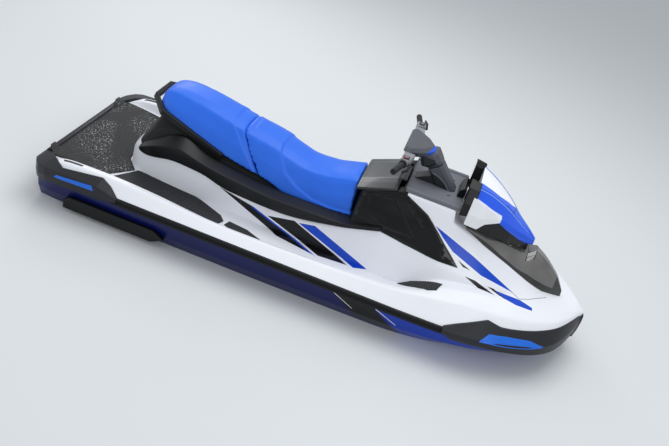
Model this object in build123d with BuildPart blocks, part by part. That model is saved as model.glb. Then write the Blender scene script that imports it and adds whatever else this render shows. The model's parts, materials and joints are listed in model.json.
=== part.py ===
from build123d import *
from math import cos, radians, sin
import os

# A runabout-style personal watercraft, afloat.
# Millimetres. +X points to the bow, +Y to port, +Z up.
# The origin is amidships on the waterline, on the centre plane.

# Driving dimensions
TRANSOM_X = -1640
STERN_X = -1675
BOW_X = 1675
PARTING_Z = 190
RAIL_TOP_Z = 235
RAIL_OUT = 14
RUN = 0.3

# Steering: a column that leans back, with the head turning about the same line
STEER_LEAN = 36
COLUMN_FOOT = (600, 0, 752)
COLUMN_LENGTH = 130
STEER_SHAFT_R = 12
STEER_SHAFT_LENGTH = 60
BAR_R = 11
GRIP_R = 17
GRIP_LENGTH = 125
POD_LENGTH = 60

# Jet drive on the centre plane
PUMP_Z = -105
PUMP_BORE_R = 78
PUMP_WALL = 12
PUMP_FRONT_X = -1130
SHAFT_R = 14
HUB_R = 32
TIP_GAP = 5
IMPELLER_X = -1215
BLADES = 3
BLADE_T = 6
VANES = 6
VANE_T = 6
TUNNEL_HALF = 128
TUNNEL_TOP_Z = 0
WELL_HALF = 152
WELL_TOP_Z = 46
WELL_FRONT_X = -1340
NOZZLE_PIVOT_X = -1475
BUCKET_PIVOT_X = -1500
BUCKET_R = 130
BUCKET_WALL = 8
PIN_R = 6

# Storage hood: its hinge at the nose, and the bin below it
HOOD_HINGE = (1178, 590)
BIN_FRONT_X = 1100
BIN_REAR_X = 840
BIN_HALF = 118
BIN_FLOOR_Z = 320
BIN_WALL = 4

# Glove box ahead of the rider
GLOVE_REAR_X = 178
GLOVE_FRONT_X = 408
GLOVE_HALF = 160
GLOVE_WALL = 5
GLOVE_FLOOR_Z = 560
GLOVE_RIM_Z = 640
GLOVE_SLOPE = 0.4

# Mooring eyes
EYE_R = 9
EYE_T = 10

# Half breadth of the hull and the deck at the parting line, stern to bow: (x, half breadth)
PLAN = [
    (-1640, 545), (-1560, 584), (-1200, 592), (-400, 596), (500, 596), (800, 590),
    (1000, 574), (1180, 536), (1320, 478), (1430, 408), (1520, 314), (1590, 188), (1640, 66),
]
STEM_HALF = 2
SIDE = max(half for x, half in PLAN) + RAIL_OUT

# Underwater body: (keel z, chine y, chine z, flat y, flat z, knuckle y, knuckle z), one row for each PLAN row
BOTTOM = [
    (-225, 428, -68, 470, -64, 532, 78),
    (-225, 432, -66, 476, -62, 552, 78),
    (-225, 435, -64, 484, -60, 560, 78),
    (-225, 435, -62, 486, -58, 564, 78),
    (-225, 425, -52, 476, -46, 562, 82),
    (-210, 392, -34, 442, -26, 550, 90),
    (-182, 338, -12, 385, -2, 524, 98),
    (-142, 268, 14, 310, 26, 474, 106),
    (-92, 194, 38, 230, 50, 402, 112),
    (-44, 132, 58, 160, 68, 322, 118),
    (2, 82, 76, 104, 86, 230, 124),
    (44, 40, 92, 54, 100, 126, 130),
    (84, 12, 106, 18, 112, 38, 138),
]

# Gunwale and footwell: (ridge y, ridge z, lip y, lip z, well y, well z), one row for each PLAN row
GUNWALE = [
    (500, 258, 470, 258, 455, 250),
    (528, 296, 474, 288, 452, 250),
    (530, 306, 482, 298, 455, 220),
    (527, 282, 487, 276, 456, 215),
    (522, 300, 486, 296, 452, 222),
    (512, 338, 470, 350, 430, 368),
    (490, 348, 430, 378, 390, 392),
    (450, 346, 372, 375, 330, 386),
    (390, 338, 312, 358, 270, 370),
    (318, 328, 250, 342, 214, 350),
    (234, 316, 184, 326, 158, 332),
    (128, 304, 100, 312, 84, 316),
    (42, 290, 32, 296, 24, 298),
]

# Pedestal under the seat and the crown of the bow:
# (x, foot y, wall y, wall z, shoulder y, shoulder z, crown y, crown z)
PEDESTAL = [
    (-1244, 150, 138, 318, 112, 338, 60, 350),
    (-1190, 205, 196, 372, 168, 405, 90, 425),
    (-1100, 238, 234, 392, 196, 520, 120, 596),
    (-940, 256, 254, 410, 196, 556, 130, 640),
    (-750, 270, 266, 402, 192, 478, 130, 560),
    (-450, 286, 276, 358, 190, 440, 130, 500),
    (-170, 296, 278, 346, 184, 370, 130, 424),
    (120, 310, 282, 400, 194, 424, 130, 470),
    (168, 314, 281, 414, 200, 440, 130, 480),
    (174, 315, 281, 416, 238, 520, 208, 638.4),
    (300, 326, 280, 450, 243, 566, 215, 688.8),
    (408, 344, 278, 474, 246, 596, 221, 732),
    (424, 346, 278, 478, 246, 600, 222, 736),
    (716, 396, 328, 440, 262, 580, 218, 736),
    (733, 400, 334, 430, 256, 568, 208, 646),
    (940, 396, 332, 412, 244, 530, 198, 582),
    (1050, 380, 318, 398, 226, 492, 183, 532),
    (1165, 345, 286, 384, 194, 444, 155, 472),
    (1235, 315, 256, 374, 166, 412, 130, 430),
    (1326, 262, 208, 360, 126, 372, 95, 380),
    (1432, 190, 142, 338, 82, 336, 55, 338),
    (1500, 130, 96, 322, 60, 324, 40, 325),
]

# Seat: (x, hem y, hem z, crest y, crest z, crown z)
SEAT = [
    (-1122, 122, 668, 80, 716, 722),
    (-1085, 168, 652, 98, 737, 746),
    (-1010, 192, 622, 110, 747, 760),
    (-890, 197, 580, 118, 736, 750),
    (-700, 196, 520, 126, 703, 718),
    (-500, 194, 478, 131, 666, 682),
    (-380, 194, 458, 132, 643, 660),
    (-270, 196, 418, 131, 612, 628),
    (-165, 198, 384, 130, 588, 603),
    (-50, 200, 392, 130, 597, 611),
    (70, 202, 428, 130, 627, 640),
    (172, 205, 448, 132, 654, 668),
]
# The joint between the cushions and the slope of the front end, seen from the side: (x, z)
SEAT_JOINT = [(-405, 400), (-428, 470), (-485, 523), (-539, 589), (-577, 660), (-598, 720), (-598, 780)]
SEAT_NOSE = [(167, 380), (167, 440), (133, 700), (133, 760)]
SEAT_GAP = 2

# Side trim below the seat: (x, low y, low z, crease y, crease z, top y, top z)
TRIM = [
    (-1172, 228, 362, 238, 384, 216, 396),
    (-1112, 262, 366, 292, 440, 222, 452),
    (-905, 288, 412, 312, 516, 226, 560),
    (-748, 296, 406, 314, 484, 224, 500),
    (-560, 300, 362, 314, 456, 222, 468),
    (-250, 304, 352, 312, 432, 222, 440),
    (110, 304, 408, 308, 440, 228, 448),
    (360, 298, 478, 300, 500, 262, 506),
]

TRIM_INNER = 209

# Gloss side panel, seen from the side: (x, z) corners
PANEL = [(177, 500), (177, 636), (405, 728), (440, 745), (806, 446), (600, 464), (360, 476), (296, 486)]
PANEL_T = 10

# Bow bumper: (x, low z, inset of the low edge, inset of the top edge, top z)
BUMPER = [
    (872, 204, 10, 10, 240),
    (940, 168, 20, 41, 268),
    (1095, 158, 36, 80, 322),
    (1180, 150, 44, 64, 302),
    (1320, 130, 66, 70, 298),
    (1430, 114, 84, 73, 296),
    (1520, 100, 92, 72, 292),
    (1590, 88, 84, 66, 288),
    (1640, 76, 60, 48, 282),
    (1675, 88, 20, 14, 262),
]
BUMPER_OUT = 26
BOW_ACCENT = [(1088, 226), (1128, 270), (1227, 273), (1395, 252), (1449, 226), (1361, 222), (1172, 224)]

# Stern bumper: (x, low y, low z, outer y, outer z, top y, top z)
STERN_BUMPER = [
    (-1675, 486, 124, 498, 244, 404, 268),
    (-1650, 528, 128, 542, 254, 420, 286),
    (-1610, 562, 142, 588, 258, 444, 300),
    (-1560, 586, 158, 606, 262, 494, 312),
    (-1465, 596, 170, SIDE, 266, 572, 280),
    (-1225, 598, 178, SIDE, 268, 542, 298),
    (-1160, 600, 190, SIDE, 252, 562, 274),
    (-1100, 602, 202, 609, 228, 597, 238),
]
STERN_ACCENT = [(-1492, 224), (-1474, 246), (-1255, 256), (-1243, 232), (-1456, 220)]
ACCENT_T = 7

# Gloss panel on the bow: (x, edge y, edge z, shoulder y, shoulder z, top y, top z)
BOW_PANEL = [
    (808, 203, 631, 188, 648, 168, 653),
    (940, 198, 582, 174, 612, 150, 624),
    (1050, 183, 532, 146, 582, 126, 600),
    (1165, 155, 472, 98, 538, 76, 556),
    (1222, 134, 437, 66, 540, 38, 556),
    (1240, 128, 428, 60, 568, 30, 588),
    (1326, 95, 380, 50, 514, 24, 537),
    (1432, 55, 338, 36, 424, 16, 450),
    (1490, 26, 325, 18, 352, 8, 366),
]

# Blue nose of the hood: (x, edge y, edge z, flank y, flank z, fold y, fold z, crest y, crest z, ridge z)
HOOD = [
    (790, 214, 804, 200, 840, 142, 884, 110, 900, 907),
    (868, 202, 790, 176, 818, 114, 858, 94, 868, 878),
    (978, 171, 741, 148, 757, 78, 800, 52, 812, 820),
    (1028, 150, 708, 124, 728, 60, 766, 22, 780, 784),
    (1087, 118, 674, 92, 694, 40, 718, 14, 732, 736),
    (1139, 80, 638, 60, 670, 29, 684, 10, 694, 698),
    (1212, 24, 612, 18, 624, 10, 630, 5, 634, 636),
]
HOOD_T = 16

# White wings of the hood: (x, low y, low z, crease y, crease z, top y, top z)
WING = [
    (780, 240, 688, 246, 762, 216, 852),
    (864, 236, 680, 240, 752, 206, 826),
    (892, 226, 722, 229, 748, 200, 810),
    (972, 187, 748, 190, 758, 177, 772),
]

# Black tray below the hood: (x, half width, low z, high z)
TRAY = [
    (800, 196, 664, 790),
    (940, 176, 633, 745),
    (1050, 128, 609, 696),
    (1165, 50, 584, 630),
]

# Footwell mats: inner and outer edges in plan, (x, y)
MAT_INNER = [(-1150, 246), (-985, 238), (-785, 296), (-660, 350), (-560, 392)]
MAT_OUTER = [(-530, 420), (-600, 440), (-800, 446), (-1100, 446), (-1268, 434)]
FRONT_MAT = [(-515, 420), (-480, 405), (-400, 414), (-255, 440), (-400, 446), (-500, 440)]
DIAMOND_MAT = [(576, 392), (661, 374), (794, 388), (726, 424)]
PLATFORM_HALF = [(-1636, 408), (-1600, 438), (-1303, 434), (-1172, 243), (-1250, 148), (-1282, 0)]
MAT_T = 5

os.makedirs("parts", exist_ok=True)


def save(part, name):
    """Label one finished piece and write it."""
    part.label = name
    export_step(part, f"parts/{name}.step")


def save_pair(part, stem):
    """Write a port piece and its mirror image to starboard."""
    save(part, f"{stem}_left")
    save(mirror(part, about=Plane.XZ), f"{stem}_right")


def station(x):
    """Plane across the craft at x, its own x axis to port and its own y axis up."""
    return Plane(origin=(x, 0, 0), x_dir=(0, 1, 0), z_dir=(1, 0, 0))


def outline(plane, points):
    """Closed face of straight edges on a plane."""
    with BuildSketch(plane) as face:
        with BuildLine():
            Polyline(*points, close=True)
        make_face()
    return face.sketch


def profile(x, half):
    """Closed section at x from the (y, z) points of its port half, low to high."""
    other = [(-y, z) for y, z in reversed(half) if y > 0]
    return outline(station(x), half + other)


def side_view(points, y_from):
    """Face of an (x, z) outline, set y_from to port and ready to be extruded to port."""
    return outline(Plane(origin=(0, y_from, 0), x_dir=(-1, 0, 0), z_dir=(0, 1, 0)), [(-x, z) for x, z in points])


def plan_view(points, z_from):
    """Face of an (x, y) outline at a height, ready to be extruded upwards."""
    return outline(Plane.XY.offset(z_from), points)


def half_breadth(x):
    """Half breadth of the parting line at x, run on to the face of the stem."""
    rows = PLAN + [(BOW_X, STEM_HALF)]
    for (x0, y0), (x1, y1) in zip(rows, rows[1:]):
        if x <= x1:
            return y0 + (y1 - y0) * (x - x0) / (x1 - x0)


def plan_points(grow=0):
    """Closed plan outline of the parting line, moved outwards by grow."""
    port = [(x, y + grow) for x, y in PLAN]
    return port + [(x, -y) for x, y in reversed(port)]


def octagon(mid, half_x, half_y, cut):
    """Rectangle about (mid, 0) with its corners cut off."""
    return [
        (mid + half_x, cut - half_y), (mid + half_x, half_y - cut), (mid + half_x - cut, half_y),
        (mid - half_x + cut, half_y), (mid - half_x, half_y - cut), (mid - half_x, cut - half_y),
        (mid - half_x + cut, -half_y), (mid + half_x - cut, -half_y),
    ]


# Direction of the steering line
STEER_DIR = Vector(-sin(radians(STEER_LEAN)), 0, cos(radians(STEER_LEAN)))


def steer_plane(along):
    """Plane square to the steering line, its own x axis forward and its own y axis to port."""
    origin = Vector(*COLUMN_FOOT) + STEER_DIR * along
    forward = Vector(cos(radians(STEER_LEAN)), 0, sin(radians(STEER_LEAN)))
    return Plane(origin=origin, x_dir=forward, z_dir=STEER_DIR)


# Hull with pump tunnel and engine bay
ENGINE_BAY = ((-560, 180), 200, (-100, 330))
DUCT_FRONT_X = -620
DUCT = [
    (PUMP_FRONT_X, PUMP_Z - PUMP_BORE_R), (PUMP_FRONT_X, PUMP_Z + PUMP_BORE_R),
    (-1010, PUMP_Z + 62), (-640, -260), (-940, -260),
]

with BuildPart() as engine_bay:
    with Locations(((ENGINE_BAY[0][0] + ENGINE_BAY[0][1]) / 2, 0, (ENGINE_BAY[2][0] + ENGINE_BAY[2][1]) / 2)):
        Box(ENGINE_BAY[0][1] - ENGINE_BAY[0][0], 2 * ENGINE_BAY[1], ENGINE_BAY[2][1] - ENGINE_BAY[2][0])

with BuildPart() as hull_form:
    loft(
        [
            profile(x, [(0, keel), (cy, cz), (fy, fz), (ky, kz), (beam, PARTING_Z)])
            for (x, beam), (keel, cy, cz, fy, fz, ky, kz) in zip(PLAN, BOTTOM)
        ],
        ruled=True,
    )
with BuildPart() as hull:
    add(hull_form.part)
    # Strakes run along the bottom to port and starboard
    with Locations((-300, 250, -148), (-300, -250, -148)):
        Box(2300, 26, 30)
    tunnels = ((TUNNEL_HALF, TUNNEL_TOP_Z, DUCT_FRONT_X), (WELL_HALF, WELL_TOP_Z, WELL_FRONT_X))
    for half, top, front in tunnels:
        room = plan_view([(-1700, -half), (front, -half), (front, half), (-1700, half)], -300)
        extrude(room, amount=top + 300, mode=Mode.SUBTRACT)
    with BuildSketch(Plane.YZ.offset(DUCT_FRONT_X)):
        with Locations((0, PUMP_Z)):
            Circle(SHAFT_R + RUN)
    extrude(amount=-500 - DUCT_FRONT_X, mode=Mode.SUBTRACT)
    add(engine_bay.part, mode=Mode.SUBTRACT)
save(hull.part, "hull")

# Intake duct, a casting let into the bottom ahead of the pump, with the shaft through its front wall
with BuildPart() as intake_duct:
    extrude(
        plan_view([(PUMP_FRONT_X, -TUNNEL_HALF), (DUCT_FRONT_X, -TUNNEL_HALF), (DUCT_FRONT_X, TUNNEL_HALF),
                   (PUMP_FRONT_X, TUNNEL_HALF)], -300),
        amount=300 + TUNNEL_TOP_Z,
    )
    add(hull_form.part, mode=Mode.INTERSECT)
    extrude(side_view(DUCT, -PUMP_BORE_R), amount=2 * PUMP_BORE_R, mode=Mode.SUBTRACT)
    with BuildSketch(Plane.YZ.offset(-1000)):
        with Locations((0, PUMP_Z)):
            Circle(SHAFT_R + RUN)
    extrude(amount=DUCT_FRONT_X + 1010, mode=Mode.SUBTRACT)
save(intake_duct.part, "intake_duct")

# Deck: gunwales and footwells, then the pedestal and the bow crown
with BuildPart() as pedestal:
    loft(
        [
            profile(x, [(fy, PARTING_Z), (wy, wz), (sy, sz), (cy, cz)])
            for x, fy, wy, wz, sy, sz, cy, cz in PEDESTAL
        ],
        ruled=True,
    )

glove_length = GLOVE_FRONT_X - GLOVE_REAR_X
glove_mid = (GLOVE_REAR_X + GLOVE_FRONT_X) / 2


def rim_z(x):
    """Height at x of the sloping rim of the glove box."""
    return GLOVE_RIM_Z + (x - GLOVE_REAR_X) * GLOVE_SLOPE


def above_rim(lift):
    """Side outline of all that lies more than lift above the rim."""
    return [(0, rim_z(0) + lift), (500, rim_z(500) + lift), (500, 1000), (0, 1000)]


with BuildPart() as glove_space:
    with Locations((glove_mid, 0, GLOVE_FLOOR_Z + 150)):
        Box(glove_length, 2 * GLOVE_HALF, 300)

with BuildPart() as bin_space:
    with Locations(((BIN_REAR_X + BIN_FRONT_X) / 2, 0, BIN_FLOOR_Z + 250)):
        Box(BIN_FRONT_X - BIN_REAR_X, 2 * BIN_HALF, 500)

with BuildPart() as deck_form:
    loft(
        [
            profile(x, [(beam, PARTING_Z), (beam, RAIL_TOP_Z), (ry, rz), (ly, lz), (wy, wz)])
            for (x, beam), (ry, rz, ly, lz, wy, wz) in zip(PLAN, GUNWALE)
        ],
        ruled=True,
    )
    add(pedestal.part)
with BuildPart() as deck:
    add(deck_form.part)
    add(engine_bay.part, mode=Mode.SUBTRACT)
    add(glove_space.part, mode=Mode.SUBTRACT)
    add(bin_space.part, mode=Mode.SUBTRACT)
save(deck.part, "deck")

# Bow bumper, one moulding round the stem, with a coloured insert let into each side
with BuildPart() as bow_bumper_form:
    sections = []
    for x, low, low_inset, top_inset, top in BUMPER:
        side = min(half_breadth(x) + BUMPER_OUT, SIDE)
        edge = RAIL_TOP_Z - 4
        sections.append(profile(x, [
            (side - low_inset, low), (side, (low + edge) / 2), (side, edge), (side - top_inset, top),
        ]))
    loft(sections, ruled=True)
    add(hull.part, mode=Mode.SUBTRACT)
    add(deck_form.part, mode=Mode.SUBTRACT)
with BuildPart() as bow_accent:
    extrude(side_view(BOW_ACCENT, -700), amount=1400)
    add(bow_bumper_form.part, mode=Mode.INTERSECT)
with BuildPart() as bow_bumper:
    add(bow_bumper_form.part)
    add(bow_accent.part, mode=Mode.SUBTRACT)
save(bow_bumper.part, "bow_bumper")
save(bow_accent.part, "bow_accents")

# Stern corner bumpers, each with a coloured insert
with BuildPart() as stern_bumper:
    loft(
        [
            outline(station(x), [
                (ty - 10, 200), (low_y, low_z), (out_y, (low_z + out_z) / 2), (out_y, out_z), (ty, tz), (ty - 10, tz - 4),
            ])
            for x, low_y, low_z, out_y, out_z, ty, tz in STERN_BUMPER
        ],
        ruled=True,
    )
    add(hull.part, mode=Mode.SUBTRACT)
    add(deck_form.part, mode=Mode.SUBTRACT)
    extrude(side_view(STERN_ACCENT, SIDE - ACCENT_T - 1), amount=20, mode=Mode.SUBTRACT)
save_pair(stern_bumper.part, "stern_bumper")
with BuildPart() as stern_accents:
    extrude(side_view(STERN_ACCENT, SIDE - ACCENT_T - 1), amount=ACCENT_T)
    mirror(about=Plane.XZ)
save(stern_accents.part, "stern_accents")

# Rub rail along each side, between the stern and bow bumpers
RAIL_REAR_X = -1172
RAIL_FRONT_X = 872
with BuildPart() as rail:
    extrude(plan_view(plan_points(RAIL_OUT), PARTING_Z - 4), amount=RAIL_TOP_Z - PARTING_Z + 4)
    extrude(plan_view(plan_points(), PARTING_Z), amount=RAIL_TOP_Z - PARTING_Z, mode=Mode.SUBTRACT)
    add(hull.part, mode=Mode.SUBTRACT)
    add(engine_bay.part, mode=Mode.SUBTRACT)
    split(bisect_by=Plane.YZ.offset(RAIL_FRONT_X), keep=Keep.BOTTOM)
    split(bisect_by=Plane.YZ.offset(RAIL_REAR_X), keep=Keep.TOP)
    split(bisect_by=Plane.XZ, keep=Keep.BOTTOM)
    add(stern_bumper.part, mode=Mode.SUBTRACT)
    add(bow_bumper_form.part, mode=Mode.SUBTRACT)
save_pair(rail.part, "rub_rail")

# Sponsons bolted to the topsides near the stern
SPONSON = [(-1430, 30), (-1430, 84), (-1390, 112), (-860, 112), (-790, 70), (-860, 30)]
with BuildPart() as sponson:
    extrude(side_view(SPONSON, 500), amount=96)
    add(hull.part, mode=Mode.SUBTRACT)
save_pair(sponson.part, "sponson")

# Mats, laid on the swim platform and on the floor of each well
with BuildPart() as floor_skin:
    loft(
        [
            profile(x, [(wy, PARTING_Z), (wy, wz + MAT_T)])
            for (x, beam), (ry, rz, ly, lz, wy, wz) in zip(PLAN, GUNWALE)
        ],
        ruled=True,
    )
with BuildPart() as platform_mat:
    other_half = [(x, -y) for x, y in reversed(PLATFORM_HALF) if y > 0]
    extrude(plan_view(PLATFORM_HALF + other_half, 200), amount=100)
    add(floor_skin.part, mode=Mode.INTERSECT)
    add(deck_form.part, mode=Mode.SUBTRACT)
    add(stern_bumper.part, mode=Mode.SUBTRACT)
    add(mirror(stern_bumper.part, about=Plane.XZ), mode=Mode.SUBTRACT)
save(platform_mat.part, "platform_mat")
with BuildPart() as footwell_mat:
    extrude(plan_view(MAT_INNER + MAT_OUTER, 200), amount=100)
    extrude(plan_view(FRONT_MAT, 200), amount=100)
    extrude(plan_view(DIAMOND_MAT, 200), amount=250)
    add(floor_skin.part, mode=Mode.INTERSECT)
    add(deck_form.part, mode=Mode.SUBTRACT)
save_pair(footwell_mat.part, "footwell_mat")

# Side trims under the seat
with BuildPart() as side_trim:
    loft(
        [
            outline(station(x), [(TRIM_INNER, lz), (ly, lz), (ky, kz), (ty, tz), (TRIM_INNER, tz)])
            for x, ly, lz, ky, kz, ty, tz in TRIM
        ],
        ruled=True,
    )
    add(pedestal.part, mode=Mode.SUBTRACT)
save_pair(side_trim.part, "side_trim")

# Seat, in two cushions
with BuildPart() as seat:
    loft(
        [
            profile(x, [(hy - 30, min(hz, 420) - 60), (hy, hz), (ky, kz), (ky / 2, crown)])
            for x, hy, hz, ky, kz, crown in SEAT
        ],
        ruled=True,
    )
    add(deck_form.part, mode=Mode.SUBTRACT)
    extrude(side_view(SEAT_NOSE + [(300, 760), (300, 380)], -300), amount=600, mode=Mode.SUBTRACT)


def ahead_of_joint(shift):
    """Prism of all that lies ahead of the joint between the cushions, the joint moved by shift."""
    line = [(x + shift, z) for x, z in SEAT_JOINT]
    return extrude(side_view(line + [(300, 760), (300, 300), (SEAT_JOINT[0][0] + shift, 300)], -300), amount=600, mode=Mode.PRIVATE)


with BuildPart() as seat_rear:
    add(seat.part)
    add(ahead_of_joint(-SEAT_GAP / 2), mode=Mode.SUBTRACT)
save(seat_rear.part, "seat_rear")
with BuildPart() as seat_front:
    add(seat.part)
    add(ahead_of_joint(SEAT_GAP / 2), mode=Mode.INTERSECT)
save(seat_front.part, "seat_front")

# Grab handle: a U round the back of the seat, in a plane that rises aft
HANDLE_SLOPE = 19
HANDLE_FRONT = (-660, 0, 528)
HANDLE_LENGTH = 542
HANDLE_HALF = 214
HANDLE_INNER = 186
HANDLE_REAR_BAR = 30
HANDLE_CORNER = 98
HANDLE_DEPTH = 38
handle_plane = Plane(
    origin=HANDLE_FRONT,
    x_dir=(-cos(radians(HANDLE_SLOPE)), 0, sin(radians(HANDLE_SLOPE))),
    z_dir=(sin(radians(HANDLE_SLOPE)), 0, cos(radians(HANDLE_SLOPE))),
)
with BuildPart() as grab_handle:
    with BuildSketch(handle_plane):
        with BuildLine():
            Polyline(
                (0, HANDLE_HALF), (HANDLE_LENGTH - 110, HANDLE_HALF), (HANDLE_LENGTH, HANDLE_CORNER),
                (HANDLE_LENGTH, -HANDLE_CORNER), (HANDLE_LENGTH - 110, -HANDLE_HALF), (0, -HANDLE_HALF), close=True,
            )
        make_face()
        with BuildLine():
            Polyline(
                (-1, HANDLE_INNER), (HANDLE_LENGTH - 122, HANDLE_INNER),
                (HANDLE_LENGTH - HANDLE_REAR_BAR, HANDLE_CORNER + 5),
                (HANDLE_LENGTH - HANDLE_REAR_BAR, -HANDLE_CORNER - 5),
                (HANDLE_LENGTH - 122, -HANDLE_INNER), (-1, -HANDLE_INNER), close=True,
            )
        make_face(mode=Mode.SUBTRACT)
    extrude(amount=-HANDLE_DEPTH)
    add(seat.part, mode=Mode.SUBTRACT)
    add(pedestal.part, mode=Mode.SUBTRACT)
    add(side_trim.part, mode=Mode.SUBTRACT)
    add(mirror(side_trim.part, about=Plane.XZ), mode=Mode.SUBTRACT)
save(grab_handle.part, "grab_handle")

# Glove box ahead of the rider: an open tub whose rim slopes with the deck around it
with BuildPart() as glove_box:
    with Locations((glove_mid, 0, GLOVE_FLOOR_Z + 100)):
        Box(glove_length, 2 * GLOVE_HALF, 200)
    offset(amount=-GLOVE_WALL, openings=glove_box.faces().sort_by(Axis.Z)[-1])
    extrude(side_view(above_rim(0), -GLOVE_HALF), amount=2 * GLOVE_HALF, mode=Mode.SUBTRACT)
save(glove_box.part, "glove_box")

# Console floor between the glove box and the hood
CONSOLE_T = 12
with BuildPart() as console:
    extrude(
        plan_view([(GLOVE_FRONT_X + 4, -214), (GLOVE_FRONT_X + 4, 214), (735, 212), (735, -212)], 736),
        amount=CONSOLE_T,
    )
save(console.part, "console")

# Gloss side panels, a skin of even thickness over the pedestal
with BuildPart() as panel_skin:
    loft(
        [
            profile(x, [(fy, PARTING_Z), (wy + PANEL_T, wz), (sy + PANEL_T, sz), (cy + PANEL_T, cz + 4)])
            for x, fy, wy, wz, sy, sz, cy, cz in PEDESTAL
        ],
        ruled=True,
    )
with BuildPart() as side_panel:
    extrude(side_view(PANEL, 150), amount=260)
    add(panel_skin.part, mode=Mode.INTERSECT)
    add(pedestal.part, mode=Mode.SUBTRACT)
    add(side_trim.part, mode=Mode.SUBTRACT)
    add(seat.part, mode=Mode.SUBTRACT)
    add(glove_box.part, mode=Mode.SUBTRACT)
    add(console.part, mode=Mode.SUBTRACT)
save_pair(side_panel.part, "side_panel")

# Steering column with the ramp at its foot and the bore for the head's shaft
COLUMN_RAMP = [(428, 736 + CONSOLE_T), (528, 802), (580, 802), (640, 736 + CONSOLE_T)]
RAMP_HALF = 40
with BuildPart() as column:
    loft(
        [
            outline(Plane.XY.offset(736 + CONSOLE_T), octagon(COLUMN_FOOT[0] + 18, 62, 48, 14)),
            outline(steer_plane(COLUMN_LENGTH), octagon(0, 46, 52, 16)),
        ],
        ruled=True,
    )
    extrude(side_view(COLUMN_RAMP, -RAMP_HALF), amount=2 * RAMP_HALF)
    with BuildSketch(steer_plane(COLUMN_LENGTH - STEER_SHAFT_LENGTH - 2)):
        Circle(STEER_SHAFT_R + RUN)
    extrude(amount=STEER_SHAFT_LENGTH + 10, mode=Mode.SUBTRACT)
save(column.part, "steering_column")

# Handlebar: one bent tube, with grips and control pods on it
BAR_Z = 922
BAR_X = 392
BAR_END = (322, 398)
with BuildPart() as handlebar:
    with BuildLine():
        bar = FilletPolyline(
            (BAR_END[0], -BAR_END[1], BAR_Z), (BAR_X, -110, BAR_Z), (BAR_X, 110, BAR_Z),
            (BAR_END[0], BAR_END[1], BAR_Z), radius=60,
        )
    with BuildSketch(Plane(origin=bar @ 0, z_dir=bar % 0)):
        Circle(BAR_R)
    sweep()
save(handlebar.part, "handlebar")

grip_dir = Vector(BAR_END[0] - BAR_X, BAR_END[1] - 110, 0).normalized()
bar_end = Vector(BAR_END[0], BAR_END[1], BAR_Z)


def on_bar(back):
    """Plane square to the port arm of the bar, at a distance back from its end."""
    return Plane(origin=bar_end - grip_dir * back, x_dir=(0, 0, 1), z_dir=grip_dir)


with BuildPart() as grip:
    with BuildSketch(on_bar(GRIP_LENGTH)):
        Circle(GRIP_R)
        Circle(BAR_R, mode=Mode.SUBTRACT)
    extrude(amount=GRIP_LENGTH)
    with BuildSketch(on_bar(GRIP_LENGTH)):
        Circle(GRIP_R + 6)
        Circle(BAR_R, mode=Mode.SUBTRACT)
    extrude(amount=6)
save_pair(grip.part, "grip")

with BuildPart() as pod:
    with BuildSketch(on_bar(GRIP_LENGTH + 2 + POD_LENGTH)):
        RectangleRounded(58, 50, 12)
        Circle(BAR_R, mode=Mode.SUBTRACT)
    extrude(amount=POD_LENGTH)
save_pair(pod.part, "control_pod")

with BuildPart() as lever:
    with BuildSketch(Plane.XY.offset(BAR_Z - 6)):
        with BuildLine():
            pivot = bar_end - grip_dir * (GRIP_LENGTH + 20)
            Polyline(
                (pivot.X + 12, pivot.Y), (pivot.X + 44, pivot.Y + 4), (pivot.X + 36, pivot.Y + 70),
                (pivot.X + 14, pivot.Y + 112), (pivot.X + 8, pivot.Y + 108), (pivot.X + 24, pivot.Y + 66),
                (pivot.X + 24, pivot.Y + 20), (pivot.X + 8, pivot.Y + 16), close=True,
            )
        make_face()
    extrude(amount=12)
    add(pod.part, mode=Mode.SUBTRACT)
save_pair(lever.part, "lever")

# Steering head: the padded cover over the bar, with its shaft in the column
PAD_TOP_Z = 962
with BuildPart() as head:
    loft(
        [
            outline(steer_plane(COLUMN_LENGTH + 5), octagon(0, 46, 50, 16)),
            outline(steer_plane(COLUMN_LENGTH + 30), octagon(-16, 60, 66, 22)),
            outline(steer_plane(COLUMN_LENGTH + 82), octagon(-12, 52, 70, 24)),
        ],
        ruled=True,
    )
    pad = [(496, 22), (452, 84), (352, 164), (322, 148)]
    mirrored = [(x, -y) for x, y in reversed(pad)]
    with BuildSketch(Plane.XY.offset(900)):
        with BuildLine():
            Polyline((488, 20), (452, 62), (380, 104), (352, 96), (352, -96), (380, -104), (452, -62), (488, -20), close=True)
        make_face()
    with BuildSketch(Plane.XY.offset(940)):
        with BuildLine():
            Polyline(*pad, *mirrored, close=True)
        make_face()
    loft(ruled=True)
    with BuildSketch(Plane.XY.offset(940)):
        with BuildLine():
            Polyline(*pad, *mirrored, close=True)
        make_face()
    with BuildSketch(Plane.XY.offset(PAD_TOP_Z)):
        with BuildLine():
            Polyline((470, 14), (436, 70), (356, 138), (334, 126), (334, -126), (356, -138), (436, -70), (470, -14), close=True)
        make_face()
    loft(ruled=True)
    with BuildSketch(steer_plane(COLUMN_LENGTH - STEER_SHAFT_LENGTH)):
        Circle(STEER_SHAFT_R)
    extrude(amount=STEER_SHAFT_LENGTH + 20)
    add(handlebar.part, mode=Mode.SUBTRACT)
save(head.part, "steering_head")

# Gloss panel on the bow, with the mouth of the storage bin through it
with BuildPart() as bow_panel:
    loft(
        [
            profile(x, [(ey - 14, ez - 60), (ey, ez), (sy, sz), (ty, tz)])
            for x, ey, ez, sy, sz, ty, tz in BOW_PANEL
        ],
        ruled=True,
    )
    add(deck.part, mode=Mode.SUBTRACT)
    add(bin_space.part, mode=Mode.SUBTRACT)
save(bow_panel.part, "bow_panel")

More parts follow.
